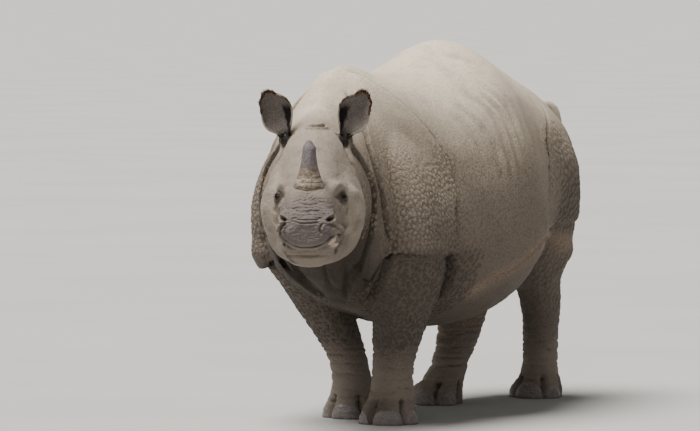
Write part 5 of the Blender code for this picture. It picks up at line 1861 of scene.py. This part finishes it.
def give_attributes(skin):
    """Region by region, how each kind of marking lies on the hide."""
    p, n = read_points(skin), read_normals(skin)
    z = p[:, 2]
    head = smoothstep(POLL + 0.10, POLL - 0.05, p[:, 1])
    inside, ear_shade = ear_marks(p)
    fine_depth, broad_depth = hollows(skin, 3), hollows(skin, 14)
    # Painted shade and mud in hollows: the deeper a point lies between its neighbours, the darker it is
    # painted.
    low = smoothstep(0.60, 0.40, z)
    shade_and_mud = smoothstep(0.0002, 0.0024, fine_depth) * (0.5 + 0.10 * low)
    shade_and_mud = np.clip(shade_and_mud + smoothstep(0.004, 0.016, broad_depth) * 0.8, 0.0, 1.0)
    # Dark lids: partly wet dark skin, partly painted shade.
    lid = np.zeros(len(p))
    for side in (1.0, -1.0):
        centre, nose, above, out = eye_frame(side)
        q = p - centre
        r = np.sqrt((q @ nose / LID_LENGTH) ** 2 + (q @ above / LID_HEIGHT) ** 2)
        lid = np.maximum(lid, smoothstep(2.9, 1.15, r) * (q @ out > -0.02) * ((q**2).sum(1) < 0.05**2))
    values, chest_shade, lip = region_marks(p, n)
    values["pebble"] = pebbling(p) * (1.0 - inside)
    values["grain"] = smoothstep(1.50, 1.05, z) * smoothstep(0.15, 0.35, z)
    values["grain"] = values["grain"] * (1.0 - 0.75 * head) * (1.0 - inside)
    barrel = smoothstep(-0.75, -0.60, p[:, 1]) * smoothstep(0.30, 0.15, p[:, 1]) * smoothstep(0.85, 1.0, z)
    hump = smoothstep(1.42, 1.50, z)
    shade_and_mud = shade_and_mud * (1.0 - 0.6 * np.maximum(barrel, hump))
    # Painted shade and mud in the marked creases, and painted shade on the chest.
    shade_and_mud = np.maximum.reduce([shade_and_mud, crease_shade_and_mud(p), 0.95 * chest_shade])
    shade_and_mud = shade_and_mud * (1.0 - 0.8 * lip)
    values["shade_and_mud"] = np.maximum(shade_and_mud * (1.0 - 0.5 * inside), 0.85 * lid)
    values["ear_inside"], values["ear_hollow_shade"] = inside, ear_shade
    write_attributes(skin, values)


# ---- stage, light and camera --------------------------------------------
SKY_COLOUR = rgb(1.0, 0.98, 0.95)
SKY_STRENGTH = 0.26
LAMP_COLOUR = (1.0, 0.965, 0.92)
# Each lamp: name, kind, place, what it is aimed at, its angle or width, power
LAMPS = (
    ("sky", "SUN", (-1.2, -1.3, 6.5), (0.0, 0.0, 0.9), math.radians(36.0), 7.0),
    ("front_box", "AREA", (1.5, -8.5, 3.5), (0.0, -0.4, 0.9), 3.0, 25.0),
)
CAMERA_LENS = 228.66
CAMERA_PLACE = (10.2430, -17.9597, 1.98)  # beside the straight body
CAMERA_DIP = math.radians(3.018)
CAMERA_TURN = math.radians(31.0)
FAR_AWAY = 4000.0


def add_stage():
    deselect()
    bpy.ops.mesh.primitive_plane_add(size=3000.0, location=(0.0, 0.0, 0.0))
    floor = bpy.context.object
    floor.name = "floor"
    look = Finish("floor_paper", 0.9, 0.1)
    tone = look.noise(0.6, 2.0)
    look.colour(look.mix(tone.fit(0.3, 0.7), FLOOR_DULL, FLOOR_PALE))
    floor.data.materials.append(look.material)
    pick(floor)
    bpy.ops.object.transform_apply(location=True, rotation=True, scale=True)


def add_light():
    world = bpy.data.worlds.new("studio")
    bpy.context.scene.world = world
    world.use_nodes = True
    sky = world.node_tree.nodes["Background"]
    sky.inputs["Color"].default_value = SKY_COLOUR
    sky.inputs["Strength"].default_value = SKY_STRENGTH
    for name, kind, place, aim, size, power in LAMPS:
        lamp = bpy.data.lights.new(name, kind)
        if kind == "SUN":
            lamp.angle = size
        else:
            lamp.shape = "DISK"
            lamp.size = size
        lamp.energy = power
        lamp.color = LAMP_COLOUR
        obj = bpy.data.objects.new(name, lamp)
        bpy.context.collection.objects.link(obj)
        obj.location = place
        obj.rotation_euler = (Vector(aim) - Vector(place)).to_track_quat("-Z", "Y").to_euler()


def add_camera():
    camera = bpy.data.cameras.new("camera")
    camera.sensor_fit = "HORIZONTAL"
    camera.sensor_width = 36.0
    camera.lens = CAMERA_LENS
    camera.clip_end = FAR_AWAY
    obj = bpy.data.objects.new("camera", camera)
    bpy.context.collection.objects.link(obj)
    obj.location = [a + b for a, b in zip(CAMERA_PLACE, STAND)]
    obj.rotation_euler = (math.pi / 2 - CAMERA_DIP, 0.0, CAMERA_TURN)
    bpy.context.scene.camera = obj


FLESH = [
    "head", "lower_jaw", "neck", "forequarters", "barrel", "hindquarters", "tail", "tail_tip",
    "ear_left", "ear_right",
]
FLESH += [leg + part for leg in FEET for part in ("_upper", "_lower", "_foot")]

add_camera()
add_stage()
add_light()
skin = make_skin()
give_attributes(skin)
hide_look = hide_finish()
for side in (1.0, -1.0):
    studs = make_tubercles(skin, side)
    studs.data.materials.append(hide_look)
    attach(studs, "root")
set_in_place(skin)
smooth_shaded(skin)
skin.data.materials.append(hide_look)
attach(skin, "root")
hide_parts(*FLESH)

horn = make_horn()
horn.data.materials.append(horn_finish())
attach(horn, "root")
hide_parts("horn")

eye_look = eye_finish()
lash_look = hair_finish("lash_hair", *LASH_HAIR)
fringe_look = hair_finish("ear_hair", *BACKLIT_EAR_HAIR)
for side, word in ((1.0, "left"), (-1.0, "right")):
    eye = make_eye(side)
    eye.data.materials.append(eye_look)
    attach(eye, "root")
    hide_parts("eye_" + word)
    for hair, look in ((make_lashes(side), lash_look), (make_ear_fringe(side), fringe_look)):
        hair.data.materials.append(look)
        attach(hair, "root")

bristles = make_tail_bristles()
bristles.data.materials.append(hair_finish("bristle_hair", *TAIL_HAIR))
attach(bristles, "root")

nail_look = nail_finish()
for leg in FEET:
    for nail in NAILS:
        piece = make_nail(leg, nail)
        piece.data.materials.append(nail_look)
        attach(piece, "root")
        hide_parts(leg + "_" + nail)
